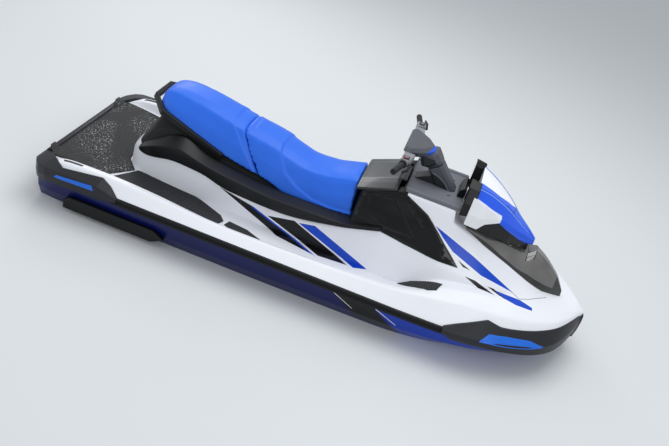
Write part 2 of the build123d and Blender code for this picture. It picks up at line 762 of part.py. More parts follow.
# Storage bin under the hood
with BuildPart() as storage_bin:
    with Locations(((BIN_REAR_X + BIN_FRONT_X) / 2, 0, (BIN_FLOOR_Z + 500) / 2)):
        Box(BIN_FRONT_X - BIN_REAR_X, 2 * BIN_HALF, 500 - BIN_FLOOR_Z)
    offset(amount=-BIN_WALL, openings=storage_bin.faces().sort_by(Axis.Z)[-1])
save(storage_bin.part, "storage_bin")

# Hood: blue nose, white wings and the black tray under them
with BuildPart() as hood_nose:
    loft(
        [
            profile(x, [(ey - 6, ez - HOOD_T), (ey, ez), (fy, fz), (ly, lz), (cy, cz), (0, rz)])
            for x, ey, ez, fy, fz, ly, lz, cy, cz, rz in HOOD
        ],
        ruled=True,
    )
save(hood_nose.part, "hood_nose")
with BuildPart() as hood_wing:
    loft(
        [
            outline(station(x), [(ly - 34, lz + 4), (ly, lz), (cy, cz), (ty, tz), (ty - 44, tz - 4)])
            for x, ly, lz, cy, cz, ty, tz in WING
        ],
        ruled=True,
    )
    add(hood_nose.part, mode=Mode.SUBTRACT)
save_pair(hood_wing.part, "hood_wing")
KNUCKLE_R = 9
HINGE_PIN_R = 4
HINGE_HALF = 20
LUG_T = 8
with BuildPart() as hood_tray:
    loft([profile(x, [(w, lz), (w, hz)]) for x, w, lz, hz in TRAY], ruled=True)
    with BuildSketch(Plane.XZ.offset(-HINGE_HALF)):
        with Locations(HOOD_HINGE):
            Circle(KNUCKLE_R)
        with Locations((HOOD_HINGE[0] - 13, HOOD_HINGE[1] + 3)):
            Rectangle(26, 12)
    extrude(amount=2 * HINGE_HALF)
    with BuildSketch(Plane.XZ.offset(-60)):
        with Locations(HOOD_HINGE):
            Circle(HINGE_PIN_R + RUN)
    extrude(amount=120, mode=Mode.SUBTRACT)
    add(hood_nose.part, mode=Mode.SUBTRACT)
    add(hood_wing.part, mode=Mode.SUBTRACT)
    add(mirror(hood_wing.part, about=Plane.XZ), mode=Mode.SUBTRACT)
save(hood_tray.part, "hood_tray")

# Hinge bracket on the bow panel: two lugs and the pin that the tray turns on
with BuildPart() as hood_hinge:
    for side in (-1, 1):
        start = side * (HINGE_HALF + RUN) if side > 0 else -(HINGE_HALF + RUN + LUG_T)
        with BuildSketch(Plane.XZ.offset(-start - LUG_T)):
            with Locations(HOOD_HINGE):
                Circle(KNUCKLE_R)
            with Locations((HOOD_HINGE[0], HOOD_HINGE[1] - 20)):
                Rectangle(2 * KNUCKLE_R, 40)
        extrude(amount=LUG_T)
    with BuildSketch(Plane.XZ.offset(-HINGE_HALF - 4)):
        with Locations(HOOD_HINGE):
            Circle(HINGE_PIN_R)
    extrude(amount=2 * HINGE_HALF + 8)
    add(bow_panel.part, mode=Mode.SUBTRACT)
save(hood_hinge.part, "hood_hinge")

# Mirrors at the back of the hood
MIRROR = [(92, 766), (100, 890), (128, 920), (196, 892), (238, 806), (228, 722), (150, 712)]
MIRROR_GLASS = [(103, 770), (110, 884), (131, 907), (190, 883), (226, 805), (217, 732), (153, 723)]
MIRROR_REAR_X = 738
MIRROR_FRONT_X = 800
MIRROR_TAPER = 0.9
with BuildPart() as mirror_shell:
    mirror_mid = (160, 810)
    front = [tuple(m + MIRROR_TAPER * (c - m) for c, m in zip(corner, mirror_mid)) for corner in MIRROR]
    loft([outline(station(MIRROR_REAR_X), MIRROR), outline(station(MIRROR_FRONT_X), front)], ruled=True)
    extrude(outline(station(MIRROR_REAR_X), MIRROR_GLASS), amount=3, mode=Mode.SUBTRACT)
    add(hood_nose.part, mode=Mode.SUBTRACT)
    add(hood_wing.part, mode=Mode.SUBTRACT)
    add(hood_tray.part, mode=Mode.SUBTRACT)
save_pair(mirror_shell.part, "mirror")
with BuildPart() as mirror_glass:
    extrude(outline(station(MIRROR_REAR_X), MIRROR_GLASS), amount=3)
    mirror(about=Plane.XZ)
save(mirror_glass.part, "mirror_glass")

# Gauge ahead of the rider
GAUGE = [(694, 748), (736, 748), (738, 806), (724, 812), (702, 790)]
with BuildPart() as gauge:
    extrude(side_view(GAUGE, -74), amount=148)
save(gauge.part, "gauge")

# Glove box lid, a crowned cover hinged at its front edge
GLOVE_LID = [(146, 200, 196, 13, 101, 30), (353, 214, 208, 12, 101, 38), (372, 214, 206, 10, 101, 27)]
GLOVE_HINGE = (GLOVE_FRONT_X - 12, rim_z(GLOVE_FRONT_X - 12) + 8)
GLOVE_PIN_R = 3
GLOVE_KNUCKLE_R = 7
GLOVE_KNUCKLE_HALF = 90
GLOVE_LUG_T = 7.7
with BuildPart() as glove_lid:
    loft(
        [
            profile(x, [
                (edge, rim_z(x) + RUN), (edge, rim_z(x) + 4), (shoulder, rim_z(x) + low), (crown, rim_z(x) + high),
            ])
            for x, edge, shoulder, low, crown, high in GLOVE_LID
        ],
        ruled=True,
    )
    with BuildSketch(Plane.XZ.offset(-GLOVE_KNUCKLE_HALF)):
        with Locations(GLOVE_HINGE):
            Circle(GLOVE_KNUCKLE_R)
        with Locations((GLOVE_HINGE[0] - 15, GLOVE_HINGE[1])):
            Rectangle(30, 10)
    extrude(amount=2 * GLOVE_KNUCKLE_HALF)
    with BuildSketch(Plane.XZ.offset(-GLOVE_KNUCKLE_HALF - 10)):
        with Locations(GLOVE_HINGE):
            Circle(GLOVE_PIN_R + RUN)
    extrude(amount=2 * GLOVE_KNUCKLE_HALF + 20, mode=Mode.SUBTRACT)
save(glove_lid.part, "glove_lid")
with BuildPart() as glove_hinge:
    with BuildSketch(Plane.XZ.offset(-GLOVE_KNUCKLE_HALF - RUN - GLOVE_LUG_T)):
        with Locations(GLOVE_HINGE):
            Circle(GLOVE_PIN_R)
    extrude(amount=2 * (GLOVE_KNUCKLE_HALF + RUN + GLOVE_LUG_T))
    for start in (-GLOVE_KNUCKLE_HALF - RUN - GLOVE_LUG_T, GLOVE_KNUCKLE_HALF + RUN):
        with BuildSketch(Plane.XZ.offset(-start - GLOVE_LUG_T)):
            with Locations(GLOVE_HINGE):
                Circle(GLOVE_KNUCKLE_R)
            with Locations((GLOVE_HINGE[0], GLOVE_HINGE[1] - 12)):
                Rectangle(2 * GLOVE_KNUCKLE_R, 24)
        extrude(amount=GLOVE_LUG_T)
    add(glove_box.part, mode=Mode.SUBTRACT)
save(glove_hinge.part, "glove_hinge")

# Jet pump: a lined bore, a stator behind the impeller and a cone that narrows the jet
pump_axis = Axis((0, 0, PUMP_Z), (1, 0, 0))
STATOR_X = (-1380, -1300)
VANE_TWIST = [(STATOR_X[0], 0), (-1340, 6), (STATOR_X[1], 22)]


def about_pump(points):
    """Face of an (x, radius) outline above the pump's axis, to be revolved about it."""
    return outline(Plane.XZ, [(x, PUMP_Z + r) for x, r in points])


def blade(x, turn, width):
    """Section of a blade or vane at x, turned about the pump's axis."""
    with BuildSketch(Plane(origin=(x, 0, PUMP_Z), x_dir=(0, 1, 0), z_dir=(1, 0, 0))) as face:
        with Locations(Rotation(0, 0, turn)):
            with Locations((width[0], 0)):
                Rectangle(width[1], width[2])
    return face.sketch


SHELL_R = PUMP_BORE_R + PUMP_WALL
FLANGE_R = SHELL_R + 8
CONE_X = -1390
ARM_END_X = -1512
with BuildPart() as pump_housing:
    revolve(
        about_pump([
            (PUMP_FRONT_X, PUMP_BORE_R), (PUMP_FRONT_X, FLANGE_R), (PUMP_FRONT_X - 16, FLANGE_R),
            (PUMP_FRONT_X - 16, SHELL_R), (CONE_X + 12, SHELL_R), (CONE_X + 12, FLANGE_R),
            (CONE_X, FLANGE_R), (CONE_X, PUMP_BORE_R),
        ]),
        axis=pump_axis,
    )
save(pump_housing.part, "pump_housing")

# Stator: fixed vanes that take the twist out of the water, round a hub that carries the shaft
with BuildPart() as stator:
    revolve(
        about_pump([(-1434, 0), (-1434, 10), (CONE_X + 5, HUB_R), (STATOR_X[1] + 8, HUB_R), (STATOR_X[1] + 8, 0)]),
        axis=pump_axis,
    )
    size = ((HUB_R + PUMP_BORE_R) / 2, PUMP_BORE_R - HUB_R + 6, VANE_T)
    for n in range(VANES):
        turn = 360 / VANES * n
        loft([blade(x, turn + twist, size) for x, twist in VANE_TWIST], ruled=True)
    with BuildSketch(Plane.YZ.offset(-1345)):
        with Locations((0, PUMP_Z)):
            Circle(SHAFT_R + RUN)
    extrude(amount=60, mode=Mode.SUBTRACT)
with BuildPart() as bore_space:
    with BuildSketch(Plane.YZ.offset(-1440)):
        with Locations((0, PUMP_Z)):
            Circle(PUMP_BORE_R - RUN)
    extrude(amount=200)
with BuildPart() as stator_trimmed:
    add(stator.part)
    add(bore_space.part, mode=Mode.INTERSECT)
save(stator_trimmed.part, "stator")

# Cone that narrows the jet, with the pins of the steering nozzle and the arms of the reverse bucket
with BuildPart() as jet_cone:
    revolve(
        about_pump([
            (CONE_X, PUMP_BORE_R), (CONE_X, FLANGE_R), (CONE_X - 12, FLANGE_R), (CONE_X - 12, SHELL_R - 6),
            (-1440, 62), (-1480, 54), (-1480, 44), (-1440, 52),
        ]),
        axis=pump_axis,
    )
    for side in (-1, 1):
        with Locations((NOZZLE_PIVOT_X, 0, PUMP_Z + side * 72)):
            Cylinder(PIN_R, 40)
        with Locations(((CONE_X + ARM_END_X) / 2, side * 92, PUMP_Z)):
            Box(CONE_X - ARM_END_X, 8, 36)
        with Locations(Location((BUCKET_PIVOT_X, side * 105, PUMP_Z), (90, 0, 0))):
            Cylinder(PIN_R, 30)
save(jet_cone.part, "jet_cone")

# Impeller with its drive shaft, which runs forward through the duct to the engine
SHAFT_REAR_X = -1340
SHAFT_FRONT_X = -552
BLADE_STEP = 24
with BuildPart() as impeller:
    revolve(
        about_pump([
            (IMPELLER_X - 38, 0), (IMPELLER_X - 38, HUB_R), (IMPELLER_X + 25, HUB_R),
            (IMPELLER_X + 60, SHAFT_R), (IMPELLER_X + 60, 0),
        ]),
        axis=pump_axis,
    )
    revolve(
        about_pump([(SHAFT_REAR_X, 0), (SHAFT_REAR_X, SHAFT_R), (SHAFT_FRONT_X, SHAFT_R), (SHAFT_FRONT_X, 0)]),
        axis=pump_axis,
    )
    tip = PUMP_BORE_R - TIP_GAP
    size = ((HUB_R + tip) / 2 - 2, tip - HUB_R + 4, 2 * BLADE_T)
    for n in range(BLADES):
        start = 360 / BLADES * n
        loft(
            [blade(IMPELLER_X - 35 + 20 * k, start + BLADE_STEP * k, size) for k in range(4)],
            ruled=True,
        )
save(impeller.part, "impeller")

# Steering nozzle, turning on the two upright pins of the pump
with BuildPart() as nozzle:
    revolve(
        about_pump([
            (NOZZLE_PIVOT_X + 2, 72), (NOZZLE_PIVOT_X + 2, 80), (-1500, 74), (-1600, 52),
            (-1600, 44), (-1500, 66),
        ]),
        axis=pump_axis,
    )
    for side in (-1, 1):
        with BuildSketch(Plane.XY.offset(PUMP_Z + side * 82)):
            with Locations((NOZZLE_PIVOT_X, 0)):
                Circle(14)
            with Locations((NOZZLE_PIVOT_X - 12, 0)):
                Rectangle(24, 28)
        extrude(amount=8, both=True)
    with Locations((NOZZLE_PIVOT_X, 0, PUMP_Z)):
        Cylinder(PIN_R + RUN, 220, mode=Mode.SUBTRACT)
    with Locations((-1575, 57, PUMP_Z)):
        Box(24, 18, 8)
save(nozzle.part, "steering_nozzle")

# Reverse bucket, stowed above the nozzle and hung on the two side pins of the pump
BUCKET_FROM, BUCKET_TO = 50, 130
BUCKET_HALF = 118
ARM_T = 8


def bucket_point(r, angle):
    """Point at a radius and an angle about the bucket's pivot, from aft upwards."""
    return (BUCKET_PIVOT_X - r * cos(radians(angle)), PUMP_Z + r * sin(radians(angle)))


with BuildPart() as bucket:
    middle = (BUCKET_FROM + BUCKET_TO) / 2
    outer = BUCKET_R + BUCKET_WALL
    with BuildSketch(Plane.XZ.offset(-BUCKET_HALF)):
        with BuildLine():
            ThreePointArc(bucket_point(outer, BUCKET_FROM), bucket_point(outer, middle), bucket_point(outer, BUCKET_TO))
            Line(bucket_point(outer, BUCKET_TO), bucket_point(BUCKET_R, BUCKET_TO))
            ThreePointArc(bucket_point(BUCKET_R, BUCKET_TO), bucket_point(BUCKET_R, middle), bucket_point(BUCKET_R, BUCKET_FROM))
            Line(bucket_point(BUCKET_R, BUCKET_FROM), bucket_point(outer, BUCKET_FROM))
        make_face()
    extrude(amount=2 * BUCKET_HALF)
    for offset_y in (-BUCKET_HALF + ARM_T, BUCKET_HALF):
        with BuildSketch(Plane.XZ.offset(-offset_y)):
            with BuildLine():
                Polyline(
                    bucket_point(outer - 1, BUCKET_FROM), bucket_point(outer - 1, 75), bucket_point(outer - 1, 105),
                    bucket_point(outer - 1, BUCKET_TO), bucket_point(20, 170), bucket_point(20, 10), close=True,
                )
            make_face()
            with Locations((BUCKET_PIVOT_X, PUMP_Z)):
                Circle(20)
        extrude(amount=ARM_T)
    with Locations(Location((BUCKET_PIVOT_X, 0, PUMP_Z), (90, 0, 0))):
        Cylinder(PIN_R + RUN, 300, mode=Mode.SUBTRACT)
save(bucket.part, "reverse_bucket")

# Intake grate across the mouth of the duct
with BuildPart() as intake_grate:
    for y in (-60, -30, 0, 30, 60):
        with Locations((-920, y, -196)):
            Box(400, 8, 12)
    for x in (-1050, -790):
        with Locations((x, 0, -194)):
            Box(10, 2 * PUMP_BORE_R, 8)
    extrude(side_view(DUCT, -PUMP_BORE_R), amount=2 * PUMP_BORE_R, mode=Mode.INTERSECT)
save(intake_grate.part, "intake_grate")

# Ride plate under the pump
with BuildPart() as ride_plate:
    extrude(
        plan_view([(-1625, -96), (-1600, -TUNNEL_HALF), (PUMP_FRONT_X, -TUNNEL_HALF), (PUMP_FRONT_X, TUNNEL_HALF),
                   (-1600, TUNNEL_HALF), (-1625, 96)], -223),
        amount=10,
    )
save(ride_plate.part, "ride_plate")

# Engine, one plain block in its closed bay
with BuildPart() as engine:
    with Locations((-245, 0, ENGINE_BAY[2][0] + 200)):
        Box(600, 340, 400)
save(engine.part, "engine_block")

# Mooring eyes at the stem and the transom
with BuildPart() as bow_eye:
    with BuildSketch(Plane.XZ.offset(-EYE_T / 2)):
        with BuildLine():
            Polyline((1540, 20), (1600, 20), (1650, 34), (1650, 62), (1625, 74), (1580, 74), close=True)
        make_face()
        with Locations((1632, 48)):
            Circle(EYE_R, mode=Mode.SUBTRACT)
    extrude(amount=EYE_T)
    add(hull.part, mode=Mode.SUBTRACT)
    add(bow_bumper_form.part, mode=Mode.SUBTRACT)
save(bow_eye.part, "bow_eye")
with BuildPart() as stern_eye:
    with BuildSketch(Plane.XZ.offset(-400 - EYE_T / 2)):
        with Locations((TRANSOM_X - 2, 40)):
            Rectangle(4, 60)
        with Locations((TRANSOM_X - 16, 40)):
            Rectangle(28, 32)
        with Locations((TRANSOM_X - 17, 40)):
            Circle(EYE_R, mode=Mode.SUBTRACT)
    extrude(amount=EYE_T)
save_pair(stern_eye.part, "stern_eye")
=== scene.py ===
# %% [markdown]
# # Dressing a personal watercraft
# The imported model gives the frame: every solid at its real size, in metres, with the bow along +X,
# port along +Y and the waterline at z = 0. This lesson gives each solid its finish, and models the
# mouldings, cushions and mats that plain solids can't show.

# %% Load the frame
import json
from math import cos, pi, radians, sin

import bmesh
import bpy
from mathutils import Matrix, Vector
from mathutils.bvhtree import BVHTree


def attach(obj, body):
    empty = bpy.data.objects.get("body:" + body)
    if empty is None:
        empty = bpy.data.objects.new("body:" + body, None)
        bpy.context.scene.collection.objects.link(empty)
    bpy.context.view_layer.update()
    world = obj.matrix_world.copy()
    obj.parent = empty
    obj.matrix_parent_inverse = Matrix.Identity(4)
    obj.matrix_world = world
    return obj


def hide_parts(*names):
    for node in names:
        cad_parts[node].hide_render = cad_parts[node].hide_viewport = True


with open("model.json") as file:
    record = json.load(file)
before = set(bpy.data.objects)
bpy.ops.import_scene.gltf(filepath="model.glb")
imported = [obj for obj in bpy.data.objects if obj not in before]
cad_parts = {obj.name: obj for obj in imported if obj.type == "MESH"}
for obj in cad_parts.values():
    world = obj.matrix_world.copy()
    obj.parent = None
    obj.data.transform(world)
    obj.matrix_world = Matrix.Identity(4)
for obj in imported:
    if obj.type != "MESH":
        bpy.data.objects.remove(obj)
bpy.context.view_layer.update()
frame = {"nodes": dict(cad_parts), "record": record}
scene = bpy.context.scene

# %% [markdown]
# A colour is given as an sRGB hex value, but shaders work in linear light, so one function
# turns the first into the second. Another adds a shader node with its settings and links in one go.
# It is short because every node is made in the same way, whatever its kind.

# %% Colour and shader helpers


def linear(code):
    """Linear RGBA of an sRGB hex colour."""
    parts = [int(code[i:i + 2], 16) / 255 for i in (1, 3, 5)]
    return [c / 12.92 if c <= 0.04045 else ((c + 0.055) / 1.055) ** 2.4 for c in parts] + [1.0]


def add_node(tree, kind, links=None, **settings):
    """Add one shader node. links maps an input to an output socket or to a plain value."""
    new = tree.nodes.new("ShaderNode" + kind)
    for key, value in settings.items():
        setattr(new, key, value)
    for key, value in (links or {}).items():
        if isinstance(value, bpy.types.NodeSocket):
            tree.links.new(value, new.inputs[key])
        else:
            new.inputs[key].default_value = value
    return new


def finish(name, colour, roughness, ior=1.5, metallic=0.0, coat=0.0):
    """A Principled material of one plain colour, ready for its pattern: (material, tree, shader)."""
    material = bpy.data.materials.new(name)
    material.use_nodes = True
    tree = material.node_tree
    tree.nodes.clear()
    shader = add_node(tree, "BsdfPrincipled", {
        "Base Color": linear(colour), "Roughness": roughness, "IOR": ior,
        "Metallic": metallic, "Coat Weight": coat, "Coat Roughness": 0.05,
    })
    add_node(tree, "OutputMaterial", {"Surface": shader.outputs[0]})
    return material, tree, shader


def grained(name, colour, roughness, size, strength, depth=0.0002, detail=2.0, **kind):
    """A finish with moulded grain: noise of a real size in metres as a bump of a real depth."""
    material, tree, shader = finish(name, colour, roughness, **kind)
    place = add_node(tree, "TexCoord").outputs["Object"]
    noise = add_node(tree, "TexNoise", {"Vector": place, "Scale": 1 / size, "Detail": detail})
    bump = add_node(tree, "Bump", {"Height": noise.outputs["Fac"], "Strength": strength, "Distance": depth})
    tree.links.new(bump.outputs[0], shader.inputs["Normal"])
    return material, tree, shader


def clouded(tree, shader, size, low, high, detail=3.0):
    """Base colour as a soft cloud of two close colours, as an even finish shows in broad light."""
    place = add_node(tree, "TexCoord").outputs["Object"]
    noise = add_node(tree, "TexNoise", {"Vector": place, "Scale": 1 / size, "Detail": detail})
    # Of a Mix of colours, input 0 is the factor, 6 and 7 are the colours, and output 2 is the result
    mix = add_node(tree, "Mix", {
        0: noise.outputs["Fac"], 6: linear(low), 7: linear(high)}, data_type="RGBA")
    tree.links.new(mix.outputs[2], shader.inputs["Base Color"])


print("mid grey in linear light:", round(linear("#808080")[0], 3))

# %% [markdown]
# The camera stands high to starboard, looking down and leaning a little, which shows the whole deck.
# Its place and turn were solved from the craft's known length, breadth and height.

# %% Camera
CAMERA_AT = Vector((0.495, -4.071, 2.863))
AZIMUTH, ELEVATION, ROLL = radians(95.98), radians(-32.74), radians(17.98)
FOCAL_PIXELS, FRAME_WIDTH, SENSOR = 782.9, 669, 36

ahead = Vector((cos(ELEVATION) * cos(AZIMUTH), cos(ELEVATION) * sin(AZIMUTH), sin(ELEVATION)))
level = ahead.cross(Vector((0, 0, 1))).normalized()
upright = level.cross(ahead)
across = cos(ROLL) * level + sin(ROLL) * upright
up = -sin(ROLL) * level + cos(ROLL) * upright
camera = bpy.data.objects.new("camera", bpy.data.cameras.new("camera"))
camera.data.sensor_width = SENSOR
camera.data.lens = FOCAL_PIXELS / FRAME_WIDTH * SENSOR
turn = Matrix((across, up, -ahead)).transposed()
camera.matrix_world = Matrix.Translation(CAMERA_AT) @ turn.to_4x4()
scene.collection.objects.link(camera)
scene.camera = camera
print("lens", round(camera.data.lens, 2), "mm")

# %% [markdown]
# The stage is a plain pale floor at the waterline, which hides the bottom of the hull as when the
# craft is afloat, and a pale world. Four broad soft lamps stand in for an overcast sky: one above, one
# on the camera's side, one behind that draws the far edges, and a weak one astern that opens the
# shade under the seat.

# %% Stage and lamps
FLOOR_SIZE = 60.0
scene.view_settings.view_transform = "Standard"


def placed(name, bm):
    """New object of a bmesh, put in the scene."""
    made = bpy.data.objects.new(name, bpy.data.meshes.new(name))
    bm.to_mesh(made.data)
    bm.free()
    scene.collection.objects.link(made)
    return made


bm = bmesh.new()
bmesh.ops.create_grid(bm, x_segments=1, y_segments=1, size=FLOOR_SIZE / 2)
floor = placed("floor", bm)
floor.data.materials.append(finish("matt_floor_paint", "#D9DCDE", 0.85)[0])

world = bpy.data.worlds.new("studio")
scene.world = world
world.use_nodes = True
world.node_tree.nodes.clear()
sky = add_node(world.node_tree, "Background", {"Color": linear("#EEF2F6"), "Strength": 0.62})
add_node(world.node_tree, "OutputWorld", {"Surface": sky.outputs[0]})


def soft_lamp(name, place, target, size, watts):
    """Square soft lamp at a place, facing a target."""
    lamp = bpy.data.objects.new(name, bpy.data.lights.new(name, "AREA"))
    lamp.data.shape = "SQUARE"
    lamp.data.size = size
    lamp.data.energy = watts
    place = Vector(place)
    facing = (Vector(target) - place).to_track_quat("-Z", "Y")
    lamp.matrix_world = Matrix.Translation(place) @ facing.to_matrix().to_4x4()
    scene.collection.objects.link(lamp)


# Name, place, target, side in metres, watts
soft_lamp("overhead", (0.6, 0.8, 5.0), (0, 0, 0.3), 4.0, 140)
soft_lamp("camera_side", (2.5, -4.5, 3.2), (0, 0, 0.3), 2.5, 48)
soft_lamp("far_side", (-3.0, 4.0, 3.0), (0, 0, 0.4), 2.0, 46)
soft_lamp("stern_side", (-4.6, -2.6, 1.6), (-0.8, 0, 0.3), 2.5, 24)

# %% [markdown]
# Most of the outer mouldings are long forms that change slowly from stern to bow, which boat
# builders draw as sections at stations. The same is done here: a short table gives a few points of
# the section at each station, a smooth curve is run through them lengthways, and one grid is bent
# over the result. Each corner of a section gets a close neighbour on each side, so that a
# Subdivision Surface rounds it with a small, chosen radius and leaves the rest fair.

# %% Fair curves and lofted skins


def fair(rows, x):
    """The values of a table at x, on a smooth curve through its rows that never overshoots them."""
    x = min(max(x, rows[0][0]), rows[-1][0])
    i = max(j for j in range(len(rows) - 1) if rows[j][0] <= x)
    width = rows[i + 1][0] - rows[i][0]
    t = (x - rows[i][0]) / width

    def slope(j, c):
        steps = [
            (rows[k + 1][c] - rows[k][c]) / (rows[k + 1][0] - rows[k][0])
            for k in (j - 1, j) if 0 <= k < len(rows) - 1
        ]
        if len(steps) == 1:
            return steps[0]
        return 0 if steps[0] * steps[1] <= 0 else 2 * steps[0] * steps[1] / (steps[0] + steps[1])

    return [
        rows[i][c] * (1 + 2 * t) * (1 - t) ** 2 + rows[i + 1][c] * t * t * (3 - 2 * t)
        + width * (slope(i, c) * t * (1 - t) ** 2 - slope(i + 1, c) * t * t * (1 - t))
        for c in range(1, len(rows[0]))
    ]


def straight(rows, x):
    """The values of a table at x, on straight lines between its rows."""
    x = min(max(x, rows[0][0]), rows[-1][0])
    i = max(j for j in range(len(rows) - 1) if rows[j][0] <= x)
    t = (x - rows[i][0]) / (rows[i + 1][0] - rows[i][0])
    return [a + (b - a) * t for a, b in zip(rows[i][1:], rows[i + 1][1:])]


def stations(first, last, step, extra=(), hold=0.004):
    """Even stations, with close ones at both ends to hold their edges, and any extra ones."""
    count = max(2, round((last - first) / step))
    even = [first + (last - first) * i / count for i in range(count + 1)]
    return sorted({*even, first + hold, last - hold, *(x for x in extra if first < x < last)})


def pairs(row):
    """A row of numbers as (y, z) points."""
    return list(zip(row[::2], row[1::2]))


def cornered(points, reach, ring=False):
    """A section with near neighbours beside every corner, at one reach or at one for each corner."""
    points = [Vector(p) for p in points]
    reaches = reach if isinstance(reach, list) else [reach] * len(points)
    out = []
    for i, (here, near) in enumerate(zip(points, reaches)):
        if not ring and i in (0, len(points) - 1):
            out.append(here)
            continue
        for other in (points[i - 1], here, points[(i + 1) % len(points)]):
            gap = (other - here).length
            out.append(here.lerp(other, min(near / gap, 0.4) if gap else 0))
    return out + [out[0]] if ring else out


def skin(sections, mirrored=True):
    """Grid bent over sections of (x, y, z) points, mirrored to starboard, closed and facing outwards."""
    rows, columns = len(sections), len(sections[0])
    bm = bmesh.new()
    bmesh.ops.create_grid(bm, x_segments=columns - 1, y_segments=rows - 1, size=1)
    for vert in bm.verts:
        column = round((vert.co.x + 1) / 2 * (columns - 1))
        row = round((vert.co.y + 1) / 2 * (rows - 1))
        vert.co = sections[row][column]
    bmesh.ops.remove_doubles(bm, verts=bm.verts, dist=1e-5)
    if mirrored:
        bmesh.ops.mirror(bm, geom=bm.verts[:] + bm.edges[:] + bm.faces[:], axis="Y", merge_dist=1e-5)
    bmesh.ops.holes_fill(bm, edges=[e for e in bm.edges if e.is_boundary], sides=0)
    bmesh.ops.recalc_face_normals(bm, faces=bm.faces)
    return bm


def both_sides(bm):
    """Adds the mirror image of a port piece to starboard."""
    bmesh.ops.mirror(bm, geom=bm.verts[:] + bm.edges[:] + bm.faces[:], axis="Y", merge_dist=-1)
    bmesh.ops.recalc_face_normals(bm, faces=bm.faces)
    return bm


def lofted(xs, outline, reach, ring=False):
    """Skin over the section that outline(x) gives at each station, held to port and mirrored."""
    sections = [[(x, max(y, 0), z) for y, z in cornered(outline(x), reach, ring)] for x in xs]
    return both_sides(skin(sections, mirrored=False)) if ring else skin(sections)


def slab(corners, axis, low, high, rounding):
    """Flat outline given its thickness along an axis (0, 1 or 2), with rounded edges, as a bmesh."""
    bm = bmesh.new()
    points = [list(corner) for corner in corners]
    for point in points:
        point.insert(axis, low)
    face = bm.faces.new([bm.verts.new(point) for point in points])
    grown = bmesh.ops.extrude_face_region(bm, geom=[face])["geom"]
    thickness = Vector([high - low if i == axis else 0 for i in range(3)])
    moved = [part for part in grown if isinstance(part, bmesh.types.BMVert)]
    bmesh.ops.translate(bm, verts=moved, vec=thickness)
    bmesh.ops.recalc_face_normals(bm, faces=bm.faces)
    bmesh.ops.bevel(
        bm, geom=bm.edges[:], offset=rounding, segments=2, profile=0.5, affect="EDGES", material=-1)
    return bm


print("stations of a 1 m piece:", [round(x, 3) for x in stations(0, 1, 0.25)])

# %% [markdown]
# Every finished piece is smooth, wears one finish, rides on one body of the model and says which
# plain solids it stands for. A modifier is applied where the mesh is worked on afterwards.

# %% Dressing a piece


def dress(made, material, nodes, body="craft"):
    """Gives a piece its finish, its body and the plain solids that it stands for."""
    made.data.materials.append(material)
    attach(made, body)
    if nodes:
        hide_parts(*nodes)
    print(made.name, "for", ", ".join(nodes) or "detail")


def piece(name, bm, material, nodes, body="craft", levels=2):
    """Smooth object of a bmesh, subdivided and dressed."""
    made = placed(name, bm)
    made.data.shade_smooth()
    if levels:
        fairing = made.modifiers.new("fairing", "SUBSURF")
        fairing.levels = fairing.render_levels = levels
    dress(made, material, nodes, body)
    return made


def settled(made):
    """Applies the modifiers of a piece to its mesh."""
    bpy.context.view_layer.update()
    shaped = bpy.data.meshes.new_from_object(made.evaluated_get(bpy.context.evaluated_depsgraph_get()))
    made.modifiers.clear()
    made.data = shaped
    shaped.shade_smooth()


def rounded(made, voxel, rounds):
    """Rounds the corners of a piece as a mould does: remeshed finely, then smoothed."""
    remesh = made.modifiers.new("remesh", "REMESH")
    remesh.mode = "VOXEL"
    remesh.voxel_size = voxel
    smooth = made.modifiers.new("smooth", "SMOOTH")
    smooth.factor = 0.5
    smooth.iterations = rounds
    settled(made)


print("materials so far:", len(bpy.data.materials))

# %% [markdown]
# Gelcoat is the coloured outer layer of a fibreglass moulding: perfectly smooth, a little deep, with
# a clear gloss. The stripes are thin vinyl film cut with straight edges, so each one is a convex
# outline in a plane tilted against the side of the craft, and the shader tests on which side of
# every edge a point lies. Real decals follow the moulding in the same way: straight from one
# direction, bent by the form from the others.

# %% Decal plane
TILT_Y, TILT_Z = -0.54, 0.84


def half_space(tree):
    """Object position with port and starboard folded together."""
    place = add_node(tree, "TexCoord").outputs["Object"]
    parts = add_node(tree, "SeparateXYZ", {0: place}).outputs
    side = add_node(tree, "Math", {0: parts["Y"]}, operation="ABSOLUTE")
    return add_node(tree, "CombineXYZ", {"X": parts["X"], "Y": side.outputs[0], "Z": parts["Z"]}).outputs[0]


def patch(tree, folded, corners, tilt):
    """1 inside a convex outline, 0 outside. Its corners are (x, height in the tilted plane)."""
    middle = sum((Vector(c) for c in corners), Vector((0, 0))) / len(corners)
    inside = None
    for a, b in zip(corners, corners[1:] + corners[:1]):
        a, b = Vector(a), Vector(b)
        across = Vector((a.y - b.y, b.x - a.x)).normalized()
        if across.dot(middle - a) < 0:
            across = -across
        reach = add_node(tree, "VectorMath", {
            0: folded, 1: (across.x, across.y * tilt[0], across.y * tilt[1]),
        }, operation="DOT_PRODUCT")
        test = add_node(tree, "Math", {
            0: reach.outputs["Value"], 1: across.dot(a)}, operation="GREATER_THAN")
        inside = test if inside is None else add_node(
            tree, "Math", {0: inside.outputs[0], 1: test.outputs[0]}, operation="MULTIPLY")
    return inside.outputs[0]


def painted(tree, shader, layers, tilt=(TILT_Y, TILT_Z)):
    """Lays decals of (sRGB colour, outlines) over the clouded base colour, the last on top."""
    folded = half_space(tree)
    colour = shader.inputs["Base Color"].links[0].from_socket
    for code, outlines in layers:
        mask = None
        for corners in outlines:
            one = patch(tree, folded, corners, tilt)
            mask = one if mask is None else add_node(
                tree, "Math", {0: mask, 1: one}, operation="MAXIMUM").outputs[0]
        mix = add_node(tree, "Mix", {0: mask, 6: colour, 7: linear(code)}, data_type="RGBA")
        colour = mix.outputs[2]
    tree.links.new(colour, shader.inputs["Base Color"])


